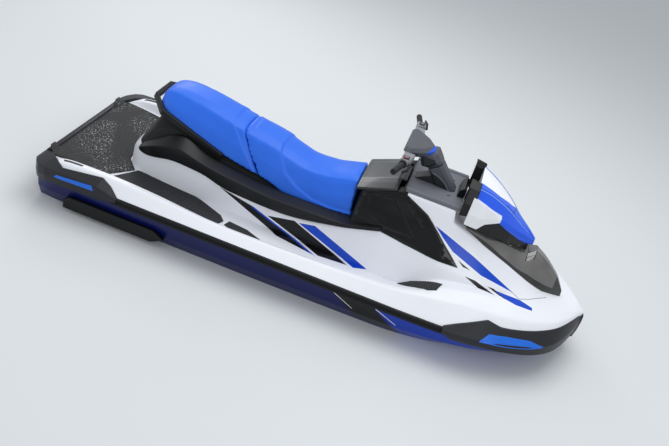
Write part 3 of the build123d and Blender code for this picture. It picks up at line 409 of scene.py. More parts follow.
def flat(points):
    """(x, y, z) points on port, dropped into the decal plane."""
    return [(x, TILT_Y * y + TILT_Z * z) for x, y, z in points]


def stroke(points, width):
    """Thin outlines along a line of (x, height) points, as a seam shows."""
    out = []
    for a, b in zip(points, points[1:]):
        a, b = Vector(a), Vector(b)
        side = Vector((a.y - b.y, b.x - a.x)).normalized() * width / 2
        out.append([tuple(a - side), tuple(b - side), tuple(b + side), tuple(a + side)])
    return out


SEEN_FROM_ABOVE, SEEN_FROM_THE_SIDE = (1, 0), (0, 1)
print("decal plane leans", TILT_Y, "outwards for", TILT_Z, "upwards")

# %% [markdown]
# The stripes, their outlines and the fine seam of the nose are listed here as corners in that plane.
# The last layer lies on top, so the seam comes first and the blue last. A faint cloud in the white
# keeps the large faces from looking like paper.

# %% Deck gelcoat with its stripes
# Corners as (x, height in the decal plane)
BLACK_STRIPES = [
    [(-.620, .149), (-.385, .110), (.056, -.024), (-.205, .001)],
    [(-.296, .092), (-.132, .122), (.248, -.008), (.071, -.018)],
    [(.828, .253), (.918, .222), (.869, .226)],
    [(.897, .181), (.963, .179), (1.093, .143), (.993, .146)],
    [(1.038, .173), (1.077, .174), (1.165, .141), (1.112, .151)],
]
BLUE_STRIPES = [
    [(-.406, .106), (-.385, .110), (.056, -.024), (.010, -.020)],
    [(-.104, .119), (-.006, .138), (.367, .011), (.289, -.009)],
    [(.644, .386), (.901, .304), (1.194, .192), (.983, .218), (.784, .286), (.709, .336)],
    [(1.087, .168), (1.241, .168), (1.321, .151), (1.324, .135), (1.220, .134), (1.154, .144)],
]
# Seam where the nose is glued on
NOSE_SEAM = flat([
    (1.105, .252, .425), (1.188, .254, .392), (1.236, .272, .380), (1.287, .235, .374), (1.401, .115, .355)])
print("stripes:", len(BLACK_STRIPES), "black,", len(BLUE_STRIPES), "blue")
deck_gelcoat, tree, shader = finish("gelcoat_white", "#E6E8EE", 0.3, ior=1.4)
clouded(tree, shader, 0.5, "#E6E8F0", "#EEF0F6")
painted(tree, shader, [
    ("#8E9098", stroke(NOSE_SEAM, .0035)), ("#0B0C0F", BLACK_STRIPES), ("#0A46C4", BLUE_STRIPES),
])

# %% [markdown]
# The deck is one moulding, but its outer edge and its raised middle curve so differently that each
# gets a table and a skin of its own. Rows stand close together where the form turns quickly, as at the
# step in front of the console.

# %% Deck moulding
# (x, half breadth, ridge y, ridge z, lip y, lip z, well y, well z), stern to bow
GUNWALE = [
    (-1.640, .545, .500, .228, .470, .232, .450, .242),
    (-1.560, .584, .528, .262, .474, .262, .452, .248),
    (-1.460, .588, .529, .296, .478, .290, .453, .242),
    (-1.200, .592, .530, .306, .482, .298, .455, .220),
    (-0.930, .594, .529, .298, .480, .284, .456, .218),
    (-0.700, .595, .528, .286, .486, .266, .458, .216),
    (-0.550, .596, .527, .280, .489, .256, .460, .215),
    (-0.400, .596, .527, .277, .489, .254, .460, .215),
    (-0.100, .596, .526, .280, .488, .262, .458, .215),
    (0.500, .596, .522, .300, .486, .296, .452, .222),
    (0.800, .590, .512, .338, .470, .350, .430, .368),
    (1.000, .574, .490, .348, .430, .378, .390, .392),
    (1.180, .536, .450, .346, .372, .375, .330, .386),
    (1.320, .478, .390, .338, .312, .358, .270, .370),
    (1.430, .408, .318, .328, .250, .342, .214, .350),
    (1.520, .314, .234, .316, .184, .326, .158, .332),
    (1.590, .188, .128, .304, .100, .312, .084, .316),
    (1.640, .066, .042, .290, .032, .296, .024, .298),
    (1.662, .012, .010, .280, .008, .283, .006, .285),
]
# (x, foot y, wall y, wall z, shoulder y, shoulder z, crown y, crown z)
PEDESTAL = [
    (-1.244, .150, .138, .318, .112, .338, .060, .350),
    (-1.190, .205, .196, .372, .168, .405, .090, .425),
    (-1.100, .238, .234, .392, .196, .520, .120, .596),
    (-0.940, .256, .254, .410, .196, .556, .130, .640),
    (-0.750, .270, .266, .402, .192, .478, .130, .560),
    (-0.450, .286, .276, .358, .190, .440, .130, .500),
    (-0.170, .296, .278, .346, .184, .370, .130, .424),
    (0.120, .310, .282, .400, .194, .424, .130, .470),
    (0.168, .314, .281, .414, .200, .440, .130, .480),
    (0.174, .315, .281, .416, .238, .520, .208, .6384),
    (0.300, .326, .280, .450, .243, .566, .215, .6888),
    (0.408, .344, .278, .474, .246, .596, .221, .732),
    (0.424, .346, .278, .478, .246, .600, .222, .736),
    (0.716, .396, .328, .440, .262, .580, .218, .736),
    (0.733, .400, .334, .430, .258, .585, .232, .668),
    (0.800, .400, .333, .425, .252, .562, .222, .642),
    (0.870, .398, .333, .418, .248, .546, .210, .614),
    (0.940, .396, .332, .412, .244, .530, .198, .582),
    (1.050, .380, .318, .398, .226, .492, .183, .532),
    (1.165, .345, .286, .384, .194, .444, .155, .472),
    (1.235, .315, .256, .374, .166, .412, .130, .430),
    (1.326, .262, .208, .360, .126, .372, .095, .380),
    (1.432, .190, .142, .338, .082, .336, .055, .338),
    (1.500, .130, .096, .322, .060, .324, .040, .325),
]
SHEER = .19  # z of the joint between hull and deck


def gunwale_section(x):
    beam, *corners = fair(GUNWALE, x)
    ridge, lip, well = pairs(corners)
    return [(0, SHEER), (beam, SHEER), (beam, .235), ridge, lip, well, (0, well[1])]


def pedestal_section(x):
    foot, *corners = fair(PEDESTAL, x)
    wall, shoulder, crown = pairs(corners)
    return [(0, .18), (foot, .18), wall, shoulder, crown, (0, crown[1])]


# Each list gives how far the neighbours of every corner stand from it, in metres
deck_low = piece("deck_gunwales", lofted(
    stations(-1.64, 1.662, 0.05, (1.6, 1.62, 1.65)), gunwale_section, [0, .003, .010, .028, .014, .020, 0]),
    deck_gelcoat, ["deck"])
deck_high = piece("deck_pedestal", lofted(
    stations(-1.244, 1.5, 0.05, (.168, .174, .408, .424, .716, .733, .720, .728)), pedestal_section,
    [0, .003, .03, .03, .02, 0]), deck_gelcoat, ["deck"])


def cut_out(made, lowest, highest):
    """Takes a box out of a piece, as for a hatch."""
    bm = bmesh.new()
    bmesh.ops.create_cube(bm, size=1)
    for vert in bm.verts:
        vert.co = [low if c < 0 else high for c, low, high in zip(vert.co, lowest, highest)]
    tool = placed("tool", bm)
    cut = made.modifiers.new("cut", "BOOLEAN")
    cut.object = tool
    cut.solver = "EXACT"
    settled(made)
    bpy.data.objects.remove(tool)


# Room for the glove box behind the column and for the storage bin ahead of it
cut_out(deck_high, (.178, -.16, .54), (.408, .16, .90))
cut_out(deck_high, (.84, -.118, .32), (1.10, .118, .9))
print("deck faces", len(deck_low.data.polygons), len(deck_high.data.polygons))

# %% [markdown]
# The pedestal under the seat is painted black above a line that runs behind the side trims, as painted
# shade in the recess under the seat hem. A face has only one material, and whole faces would leave a
# jagged edge, so the mesh is first cut along the line.

# %% Painted shade under the seat
# (x, z) of the line, from astern
TRIM_CREASE = [
    (-1.205, .400), (-1.160, .385), (-1.112, .415), (-.905, .470), (-.748, .450), (-.560, .420),
    (-.250, .400), (.110, .425), (.176, .440), (.300, .470), (.436, .500),
]
# Black for the pedestal above the line: painted shade under the seat hem
seat_recess_shade = grained("black_painted_seat_shade", "#0A0B0C", 0.5, 0.0016, 0.4, ior=1.35)[0]
deck_high.data.materials.append(seat_recess_shade)
bm = bmesh.new()
bm.from_mesh(deck_high.data)


def sliced(bm, inside, point, across):
    """Cuts the faces that pass a test along a plane."""
    faces = [face for face in bm.faces if inside(face.calc_center_median())]
    edges = {edge for face in faces for edge in face.edges}
    verts = {vert for face in faces for vert in face.verts}
    bmesh.ops.bisect_plane(bm, geom=faces + list(edges | verts), plane_co=point, plane_no=across)


for x, z in TRIM_CREASE:
    sliced(bm, lambda middle: True, (x, 0, z), (1, 0, 0))
for (x0, z0), (x1, z1) in zip(TRIM_CREASE, TRIM_CREASE[1:]):
    sliced(bm, lambda middle: x0 < middle.x < x1, (x0, 0, z0), (z0 - z1, 0, x1 - x0))
for face in bm.faces:
    x, y, z = face.calc_center_median()
    if TRIM_CREASE[0][0] < x < TRIM_CREASE[-1][0] and z > straight(TRIM_CREASE, x)[0]:
        face.material_index = 1
bm.to_mesh(deck_high.data)
bm.free()
print("black faces", sum(face.material_index for face in deck_high.data.polygons))

# %% [markdown]
# The hull is drawn from its keel up: a flat V bottom, a hard chine, a narrow flat above it and a
# knuckle where the side turns upright. The tunnel of the jet and the recess for its pump are taken
# out of the stern. Slashes of blue and black cross the band near the bow.

# %% Hull
# (x, half breadth, keel z, chine y, chine z, flat y, flat z, knuckle y, knuckle z)
BOTTOM = [
    (-1.640, .545, -.225, .428, -.068, .470, -.064, .532, .078),
    (-1.560, .584, -.225, .432, -.066, .476, -.062, .552, .078),
    (-1.200, .592, -.225, .435, -.064, .484, -.060, .560, .078),
    (-0.400, .596, -.225, .435, -.062, .486, -.058, .564, .078),
    (0.500, .596, -.225, .425, -.052, .476, -.046, .562, .082),
    (0.800, .590, -.210, .392, -.034, .442, -.026, .550, .090),
    (1.000, .574, -.182, .338, -.012, .385, -.002, .524, .098),
    (1.180, .536, -.142, .268, .014, .310, .026, .474, .106),
    (1.320, .478, -.092, .194, .038, .230, .050, .402, .112),
    (1.430, .408, -.044, .132, .058, .160, .068, .322, .118),
    (1.520, .314, .002, .082, .076, .104, .086, .230, .124),
    (1.590, .188, .044, .040, .092, .054, .100, .126, .130),
    (1.640, .066, .084, .012, .106, .018, .112, .038, .138),
    (1.660, .014, .110, .004, .120, .006, .126, .010, .146),
]
# Slashes of blue, black and white across the band, as (x, y, z) corners on port
SLASHES = [
    ("#0A36A4", [flat([(.470, .588, .19), (.700, .54, .02), (1.7, .3, -.05), (1.7, .3, .4)])]),
    ("#08090C", [flat([(.235, .60, .19), (.47, .585, .19), (.63, .51, .02), (.40, .56, .05)])]),
    ("#E6E8EE", [
        flat([(.235, .600, .19), (.245, .600, .19), (.375, .570, .105), (.368, .570, .105)]),
        flat([(.462, .588, .19), (.474, .588, .19), (.640, .560, .100), (.632, .560, .100)]),
    ]),
]


def hull_section(x):
    beam, keel, *corners = fair(BOTTOM, x)
    return [(0, keel), *pairs(corners), (beam, SHEER), (0, SHEER)]


hull_gelcoat, tree, shader = finish("gelcoat_navy", "#07104A", 0.3, ior=1.35, coat=0.1)
clouded(tree, shader, 0.5, "#060F48", "#091456")
painted(tree, shader, SLASHES)
hull_skin = piece("hull_shell", lofted(
    stations(-1.64, 1.66, 0.06, (1.6, 1.62, 1.65)), hull_section, [0, .006, .006, .014, .003, 0]),
    hull_gelcoat, ["hull"])
# The tunnel, and the wider recess of the pump at its end
cut_out(hull_skin, (-1.7, -.128, -.3), (-.62, .128, 0))
cut_out(hull_skin, (-1.7, -.152, -.3), (-1.34, .152, .046))
print("hull faces", len(hull_skin.data.polygons))

# %% [markdown]
# The bumper wraps the joint of deck and hull, so its section is measured from the deck's own edge and
# not from the middle: that way it stays the same width all round the bow.

# %% Bow bumper
# (x, low z, inset of the low edge, inset of the top edge, top z)
BOW_BUMPER = [
    (.872, .204, .010, .010, .240), (.940, .168, .020, .041, .268), (1.095, .158, .036, .080, .322),
    (1.180, .150, .044, .064, .302), (1.320, .130, .066, .070, .298), (1.430, .114, .084, .073, .296),
    (1.520, .100, .092, .072, .292), (1.590, .088, .084, .066, .288), (1.640, .076, .060, .048, .282),
    (1.675, .088, .020, .014, .262),
]
BUMPER_OUT, HALF_BREADTH, SHOULDER = .026, .610, .231
DECK_EDGE = [row[:2] for row in GUNWALE] + [(1.675, .002)]


def bumper_face(x):
    """Outer face of the bow bumper at a station: (y, z) points upwards."""
    side = min(fair(DECK_EDGE, x)[0] + BUMPER_OUT, HALF_BREADTH)
    low, low_in, top_in, top = straight(BOW_BUMPER, x)
    return [(side - low_in, low), (side, (low + SHOULDER) / 2), (side, SHOULDER), (side - top_in, top)]


def bumper_section(x):
    face = bumper_face(x)
    return [(0, face[0][1]), *face, (0, face[-1][1])]


bumper_plastic = grained("polyethylene_charcoal", "#26272C", 0.45, 0.0015, 0.5, ior=1.35)[0]
piece("bow_bumper_moulding", lofted(
    stations(.872, 1.675, 0.03, (.94, 1.085, 1.095, 1.105, 1.175, 1.185, 1.655, 1.665)), bumper_section,
    [0, .004, .006, .010, .006, 0]), bumper_plastic, ["bow_bumper"])

# %% [markdown]
# The coloured inserts of the bumpers are separate mouldings pressed into them. Each one here is a thin
# band of the bumper's own section, lofted 2 mm proud of it between its top and bottom edge, so that it
# follows the curve of the bow exactly.

# %% Bow accents
# (x, low z, high z)
BOW_ACCENT = [
    (1.090, .225, .232), (1.128, .228, .270), (1.227, .225, .272), (1.361, .224, .262),
    (1.395, .224, .250), (1.449, .227, .232),
]
PROUD, INSERT_DEPTH = .0022, .006


def accent_section(x):
    low, high = straight(BOW_ACCENT, x)
    face = [(z, y) for y, z in bumper_face(x)]
    outer = [(straight(face, z)[0] + PROUD, z) for z in (low, low + (high - low) * .5, high)]
    return outer + [(y - INSERT_DEPTH, z) for y, z in reversed(outer)]


accent_acrylic, tree, shader = finish("acrylic_blue_insert", "#1F69D6", 0.22, ior=1.4)
clouded(tree, shader, 0.08, "#1C64D0", "#236FDE")
piece("bow_accent_inserts", lofted(
    stations(1.090, 1.449, 0.02, (1.128,)), accent_section, .0015, ring=True),
    accent_acrylic, ["bow_accents"])

# %% [markdown]
# The bumpers on the stern quarters have flat faces and crisp corners, so they are lofted on straight
# lines. A rubber strip with a groove along it covers the joint between them and the bow.

# %% Stern bumpers and their accents
# (x, low y, low z, outer y, outer z, top y, top z)
STERN_BUMPER = [
    (-1.675, .486, .124, .498, .236, .404, .236), (-1.650, .528, .128, .542, .246, .420, .250),
    (-1.610, .562, .142, .588, .254, .444, .264), (-1.560, .586, .158, .606, .262, .494, .282),
    (-1.465, .596, .170, .610, .266, .572, .280), (-1.225, .598, .178, .610, .268, .542, .298),
    (-1.160, .600, .190, .610, .252, .562, .274), (-1.100, .602, .202, .609, .228, .597, .238),
]
RAIL = [
    (.588, .190), (.607, .190), (.609, .204), (.601, .209), (.601, .215), (.608, .220), (.606, .233),
    (.588, .236),
]
STERN_ACCENT = [(-1.494, .227), (-1.476, .244), (-1.255, .264), (-1.243, .233), (-1.456, .224)]


def quarter_section(x):
    low, out, top = pairs(straight(STERN_BUMPER, x))
    back = top[0] - .010
    return [(back, .200), low, (out[0], (low[1] + out[1]) / 2), out, top, (back, top[1] - .006)]


def rail_section(x):
    """The rail's section, moved in where the deck is narrower than amidships."""
    inwards = fair(GUNWALE, x)[0] - .596
    return [(y + inwards, z) for y, z in RAIL]


piece("stern_bumper_mouldings", lofted(
    stations(-1.675, -1.1, 0.03, (
        -1.665, -1.65, -1.61, -1.56, -1.472, -1.465, -1.458, -1.232, -1.225, -1.218, -1.16)),
    quarter_section, .004, ring=True), bumper_plastic, ["stern_bumper_left", "stern_bumper_right"])
rail_rubber = grained("rubber_strip_black", "#0E0F12", 0.5, 0.0015, 0.4, ior=1.35)[0]
piece("rub_rail_strips", lofted(stations(-1.13, .93, 0.1), rail_section, .002, ring=True), rail_rubber,
      ["rub_rail_left", "rub_rail_right"], levels=1)
piece("stern_accent_inserts", both_sides(slab(STERN_ACCENT, 1, .600, .6125, .0015)), accent_acrylic,
      ["stern_accents"], levels=0)

# %% [markdown]
# The mats are sheets of closed-cell foam, moulded with ribs for grip. The ribs are far too fine to
# model, so bands across the craft bend the light on them and paint shade into the grooves.

# %% Ribbed foam
RIB_PITCH = .012  # 12 mm from rib to rib


def ribbed(name, top, groove, roughness):
    """Foam sheet with ribs across the craft."""
    material, tree, shader = finish(name, top, roughness)
    place = add_node(tree, "TexCoord").outputs["Object"]
    # A band of the Wave Texture is pi / 10 long at scale 1
    bands = add_node(tree, "TexWave", {"Vector": place, "Scale": pi / 10 / RIB_PITCH, "Distortion": 0.0},
                     wave_type="BANDS", bands_direction="X", wave_profile="SIN")
    # Specks about 11 mm across, where the foam is worn
    speckle = add_node(tree, "TexNoise", {"Vector": place, "Scale": 90.0, "Detail": 4.0})
    # The grooves take the darker colour, as painted shade between the ribs
    mix = add_node(tree, "Mix", {
        0: bands.outputs["Fac"], 6: linear(groove), 7: linear(top)}, data_type="RGBA")
    tree.links.new(mix.outputs[2], shader.inputs["Base Color"])
    bump = add_node(tree, "Bump", {"Height": bands.outputs["Fac"], "Strength": 0.6, "Distance": 0.0015})
    fine = add_node(tree, "Bump", {
        "Height": speckle.outputs["Fac"], "Normal": bump.outputs[0], "Strength": 0.3, "Distance": 0.0008})
    tree.links.new(fine.outputs[0], shader.inputs["Normal"])
    return material, tree, shader


foam_ribbed = ribbed("eva_foam_ribbed", "#36373D", "#020203", .7)[0]

foam_platform, tree, shader = ribbed("eva_foam_platform", "#1D1E22", "#030304", .6)
place = add_node(tree, "TexCoord").outputs["Object"]
# Drops of water about 10 mm across lie in patches on the foam, as it dries; they are glossier and painted
# lighter as a painted glint
drops = add_node(tree, "TexNoise", {"Vector": place, "Scale": 95.0, "Detail": 1.0})
patches = add_node(tree, "TexNoise", {"Vector": place, "Scale": 3.5, "Detail": 2.0})
round_drops = add_node(tree, "MapRange", {"Value": drops.outputs["Fac"], "From Min": .58, "From Max": .64})
wet = add_node(tree, "MapRange", {"Value": patches.outputs["Fac"], "From Min": .46, "From Max": .58})
drops_wet_and_glint = add_node(tree, "Math", {0: round_drops.outputs[0], 1: wet.outputs[0]}, operation="MULTIPLY")
foam_colour = shader.inputs["Base Color"].links[0].from_socket
# The drops are painted a lighter grey: a painted glint
mix = add_node(tree, "Mix", {0: drops_wet_and_glint.outputs[0], 6: foam_colour, 7: linear("#50535A")}, data_type="RGBA")
tree.links.new(mix.outputs[2], shader.inputs["Base Color"])
shine = add_node(tree, "MapRange", {"Value": drops_wet_and_glint.outputs[0], "To Min": .65, "To Max": .15})
tree.links.new(shine.outputs[0], shader.inputs["Roughness"])
print("foams:", foam_ribbed.name, foam_platform.name)

# %% [markdown]
# Each sheet is an outline in plan, given its thickness, cut into small squares and dropped onto the
# deck by a ray from above. A plain outline with so few corners could not bend with the deck.

# %% Mats on the platform and in the footwells
OUTSIDE, SUNK = .8, .001  # rays start clear of the craft, and a sheet sinks in by 1 mm


def laid(corners, under, axis, thickness, step):
    """Sheet cut to an outline, divided at a step and pressed along an axis onto a piece, as a bmesh."""
    surface = BVHTree.FromObject(under, bpy.context.evaluated_depsgraph_get())
    bm = slab(corners, axis, 0, thickness, thickness / 4)
    for column, other in enumerate(i for i in range(3) if i != axis):
        low, high = (pick(corner[column] for corner in corners) for pick in (min, max))
        count = int((high - low) / step)
        for i in range(1, count + 1):
            spot = Vector((0, 0, 0))
            spot[other] = low + i * (high - low) / (count + 1)
            bmesh.ops.bisect_plane(bm, geom=bm.verts[:] + bm.edges[:] + bm.faces[:], plane_co=spot,
                                   plane_no=[float(i == other) for i in range(3)])
    for vert in bm.verts:
        start = vert.co.copy()
        start[axis] = OUTSIDE
        found = surface.ray_cast(start, Vector([-float(i == axis) for i in range(3)]))[0]
        vert.co[axis] += (found or surface.find_nearest(start)[0])[axis] - SUNK
    return bm


PLATFORM = [(-1.644, .408), (-1.604, .442), (-1.303, .434), (-1.172, .243), (-1.250, .148), (-1.282, 0)]
whole = PLATFORM + [(x, -y) for x, y in reversed(PLATFORM) if y > 0]
piece("platform_sheet", laid(whole, deck_low, 2, .009, .04), foam_platform, ["platform_mat"], levels=0)
FOOTWELL = [
    (-1.150, .235), (-1.000, .240), (-.900, .244), (-.809, .250), (-.700, .285), (-.638, .313), (-.553, .351),
    (-.517, .394), (-.530, .430), (-.560, .450), (-.800, .452), (-1.100, .452), (-1.268, .440),
]
FOOTWELL_TIP = [(-.486, .377), (-.367, .392), (-.262, .440), (-.300, .452), (-.440, .452), (-.500, .425)]
GRATE = [(.558, .369), (.625, .353), (.703, .373), (.796, .399), (.775, .454), (.727, .464), (.661, .423)]
for name, corners in (("footwell_sheets", FOOTWELL), ("footwell_tips", FOOTWELL_TIP), ("front_grates", GRATE)):
    piece(name, both_sides(laid(corners, deck_low, 2, .007, .03)), foam_ribbed,
          ["footwell_mat_left", "footwell_mat_right"], levels=0)
# Rounded lip behind the mat, and a dark sheet beside it as painted shade in the slot for a tie-down strap
LIP = [(-1.668, .244), (-1.658, .256), (-1.625, .262), (-1.625, .226), (-1.655, .226)]
piece("rear_lip", slab(LIP, 1, -.412, .412, .004), bumper_plastic, [], levels=0)
STRAP_SLOT_SHADE = [(-1.500, .496), (-1.372, .500), (-1.374, .518), (-1.488, .516)]
piece("strap_slot_shade", both_sides(laid(STRAP_SLOT_SHADE, deck_low, 2, .003, .03)), bumper_plastic, [], levels=0)

# %% [markdown]
# Beside the seat lies a long black moulding that swells into a shoulder towards the stern. Its
# section has a foot, a shoulder and a top that each follow a curve of their own.

# %% Side trims
# (x, foot y, foot z, shoulder y, shoulder z, top y, top z)
TRIM = [
    (-1.172, .228, .362, .238, .384, .216, .396), (-1.112, .262, .366, .292, .440, .222, .452),
    (-.905, .288, .412, .312, .516, .226, .560), (-.748, .296, .406, .314, .484, .224, .500),
    (-.560, .300, .362, .314, .456, .222, .468), (-.250, .304, .352, .312, .432, .222, .440),
    (.110, .304, .408, .308, .440, .228, .448), (.360, .298, .478, .300, .500, .262, .506),
]
TRIM_BACK = .209  # y of its hidden back, inside the pedestal


def trim_section(x):
    foot, shoulder, top = pairs(fair(TRIM, x))
    return [(TRIM_BACK, foot[1]), foot, shoulder, top, (TRIM_BACK, top[1])]


trim_plastic = grained("polypropylene_black", "#0A0B0E", 0.4, 0.0014, 0.4, ior=1.38)[0]
piece("side_trim_mouldings", lofted(
    stations(-1.172, .36, 0.04, (-1.16,)), trim_section, [.004, .006, .008, .008, .004], ring=True),
    trim_plastic, ["side_trim_left", "side_trim_right"])

# %% [markdown]
# The seat is two foam cushions under tight marine vinyl. Each one is drawn by the long lines that an
# upholsterer would draw on the foam: hem, flank, crest and crown. Every line starts and ends where it
# meets the joint or the nose, so the ends of the cushion lean and curve as the real ones do.

# %% Seat lines
# (x, hem y, hem z, crest y, crest z, crown z)
SEAT = [
    (-1.122, .122, .668, .080, .716, .722), (-1.085, .168, .652, .098, .737, .746),
    (-1.010, .192, .622, .110, .747, .760), (-.890, .197, .580, .118, .736, .750),
    (-.700, .196, .520, .126, .703, .718), (-.500, .194, .478, .131, .666, .682),
    (-.380, .194, .458, .132, .643, .660), (-.270, .196, .418, .131, .612, .628),
    (-.165, .198, .384, .130, .588, .603), (-.050, .200, .392, .130, .597, .611),
    (.070, .202, .428, .130, .627, .640), (.172, .205, .448, .132, .654, .668),
]
# Joint between the cushions and front end of the seat, seen from the side: (z, x)
JOINT = [
    (.400, -.405), (.470, -.428), (.523, -.485), (.589, -.539), (.660, -.577), (.720, -.598), (.780, -.598),
]
NOSE = [(.38, .167), (.44, .167), (.70, .133), (.76, .133)]
TAIL = [(.60, -1.100), (.66, -1.119), (.70, -1.119), (.76, -1.105)]
STEPS = 40  # sections along a cushion, less one


def base_width(x, z):
    """Half width of the pedestal under the seat at a height."""
    wall, shoulder, crown = pairs(fair(PEDESTAL, x)[1:])
    profile = [(z, y) for y, z in (wall, shoulder, crown)] + [(crown[1] + .001, 0)]
    return straight(profile, z)[0]


def flank(row):
    """Point between hem and crest, bulged a little."""
    hem_y, hem_z, crest_y, crest_z = row[:4]
    return hem_y * .5 + crest_y * .5 + .006, hem_z * .5 + crest_z * .5 + .002


SEAT_LINES = [
    lambda x: (0, fair(PEDESTAL, x)[6] + .004),
    lambda x: (fair(PEDESTAL, x)[5], fair(PEDESTAL, x)[6] + .004),
    lambda x: (base_width(x, fair(SEAT, x)[1]) + .004, fair(SEAT, x)[1] + .002),
    lambda x: fair(SEAT, x)[:2],
    lambda x: flank(fair(SEAT, x)),
    lambda x: fair(SEAT, x)[2:4],
    lambda x: (fair(SEAT, x)[2] * .5, fair(SEAT, x)[4]),
    lambda x: (0, fair(SEAT, x)[4] + .002),
]


def meets(line, edge, guess):
    """The x at which a seat line reaches an edge drawn from the side."""
    x = guess
    for _ in range(12):
        x = straight(edge, line(x)[1])[0]
    return x


def cushion(rear_edge, rear_guess, front_edge, front_guess, gap_rear, gap_front):
    """Block of foam between two edges, as a bmesh."""
    ends = [
        (meets(line, rear_edge, rear_guess) + gap_rear, meets(line, front_edge, front_guess) - gap_front)
        for line in SEAT_LINES
    ]
    sections = []
    for i in range(STEPS + 1):
        xs = [rear + (front - rear) * (i / STEPS) for rear, front in ends]
        sections.append([(x, *line(x)) for line, x in zip(SEAT_LINES, xs)])
    return skin(sections)


print("seat lines:", len(SEAT_LINES))

# %% [markdown]
# The block of foam is remeshed evenly and blown up a little as cloth, so that the cover pulls tight
# over it. A cap on how far a point may move keeps the cushion in its place. Then the raised panel that
# is moulded into the foam is pressed up along its edge.

# %% Upholstery
FOAM_VOXEL, FOAM_ROUNDS = .007, 9
COVER_CAP = .0025  # most that the cover swells, in metres
PRESSURE, TENSION, BENDING, LAST_FRAME = 4, 40, 5, 20
RAMP = .012  # width of a raised panel's edge
UNDERSIDE = -.3  # normals that point lower than this belong to the bottom


def side_of(points, x, z):
    """Signed distance from (x, z) to a line of points, positive ahead of it or above it."""
    here = Vector((x, z))
    best = None
    for a, b in zip(points, points[1:]):
        a, b = Vector(a), Vector(b)
        along = b - a
        t = min(max((here - a).dot(along) / along.length_squared, 0), 1)
        away = here - (a + along * t)
        side = along.x * (here.y - a.y) - along.y * (here.x - a.x)
        if best is None or away.length < abs(best):
            best = away.length if side > 0 else -away.length
    return best


def upholster(name, bm, node, panel_edge, lift):
    """Remeshes a foam block, blows it up under its cover and presses its raised panel."""
    made = placed(name, bm)
    rounded(made, FOAM_VOXEL, FOAM_ROUNDS)
    start = [v.co.copy() for v in made.data.vertices]
    cloth = made.modifiers.new("cloth", "CLOTH").settings
    cloth.use_pressure = True
    cloth.uniform_pressure_force = PRESSURE
    cloth.effector_weights.gravity = 0
    cloth.tension_stiffness = TENSION
    cloth.bending_stiffness = BENDING
    for number in range(1, LAST_FRAME + 1):
        scene.frame_set(number)
    settled(made)
    scene.frame_set(1)
    bm = bmesh.new()
    bm.from_mesh(made.data)
    for vert, first in zip(bm.verts, start):
        move = vert.co - first
        vert.co = first + move * min(1, COVER_CAP / move.length if move.length else 1)
    bmesh.ops.smooth_vert(bm, verts=bm.verts, factor=0.5, use_axis_x=True, use_axis_y=True, use_axis_z=True)
    bm.normal_update()
    for vert in bm.verts:
        if vert.normal.z > UNDERSIDE:
            away = side_of(panel_edge, vert.co.x, vert.co.z)
            t = min(max(away / RAMP + 0.5, 0), 1)
            vert.co += vert.normal * lift * t * t * (3 - 2 * t)
    bm.to_mesh(made.data)
    bm.free()
    finer = made.modifiers.new("finer", "SUBSURF")
    finer.levels = finer.render_levels = 1
    dress(made, vinyl, [node])
    print(name, len(made.data.polygons), "faces before the last subdivision")


print("foam voxel:", FOAM_VOXEL, "m, cap:", COVER_CAP, "m")

# %% [markdown]
# Marine vinyl is a soft, slightly rough skin with fine pores about 3 mm apart. It has no coat over it,
# so its highlights are broad. The cushions are upholstered with it in their order on the craft.

# %% Seat vinyl and cushions
vinyl, tree, shader = finish("marine_vinyl_blue", "#2C71E3", 0.42, ior=1.4)
clouded(tree, shader, 0.12, "#2466DE", "#2B70EA")
place = add_node(tree, "TexCoord").outputs["Object"]
pores = add_node(tree, "TexVoronoi", {"Vector": place, "Scale": 1 / 0.003})
bump = add_node(tree, "Bump", {"Height": pores.outputs["Distance"], "Strength": 0.25, "Distance": 0.0003})
tree.links.new(bump.outputs[0], shader.inputs["Normal"])
# Lower edges of the raised panels, seen from the side: (x, z), upwards
REAR_PANEL = [
    (-.40, .40), (-.445, .470), (-.506, .535), (-.566, .600), (-.628, .670), (-.668, .711), (-.690, .800),
]
FRONT_PANEL = [
    (.20, .470), (.03, .446), (-.088, .450), (-.194, .483), (-.283, .541), (-.326, .611), (-.354, .652),
    (-.375, .800),
]
JOINT_GAP, NOSE_GAP = .0045, .003
upholster("seat_cushion_rear", cushion(TAIL, -1.1, JOINT, -.55, 0, JOINT_GAP), "seat_rear", REAR_PANEL, .006)
upholster("seat_cushion_front", cushion(JOINT, -.55, NOSE, .15, JOINT_GAP, NOSE_GAP), "seat_front",
          FRONT_PANEL, .007)

# %% [markdown]
# The hood is one moulding with hard folds between nearly flat faces. Its sections carry a point for
# each fold, and short reaches keep the folds crisp. The white panel on its crown is paint, so it is an
# outline seen from above, and so are the lighter blue of its upper faces and the bright line along its
# fold, which are painted highlights.

# %% Hood
# (x, edge y, edge z, flank y, flank z, fold y, fold z, crest y, crest z, ridge z)
HOOD = [
    (.790, .214, .804, .200, .840, .142, .884, .110, .900, .907),
    (.868, .202, .790, .176, .818, .114, .858, .094, .868, .878),
    (.978, .171, .741, .148, .757, .078, .800, .052, .812, .820),
    (1.028, .150, .708, .124, .728, .060, .766, .022, .780, .784),
    (1.087, .118, .674, .092, .694, .040, .718, .014, .732, .736),
    (1.139, .080, .638, .060, .670, .029, .684, .010, .694, .698),
    (1.212, .024, .612, .018, .624, .010, .630, .005, .634, .636),
]
HOOD_WHITE = [(.70, 0), (.70, .104), (.793, .101), (.843, .089), (.922, .069), (1.013, .021), (1.036, 0)]
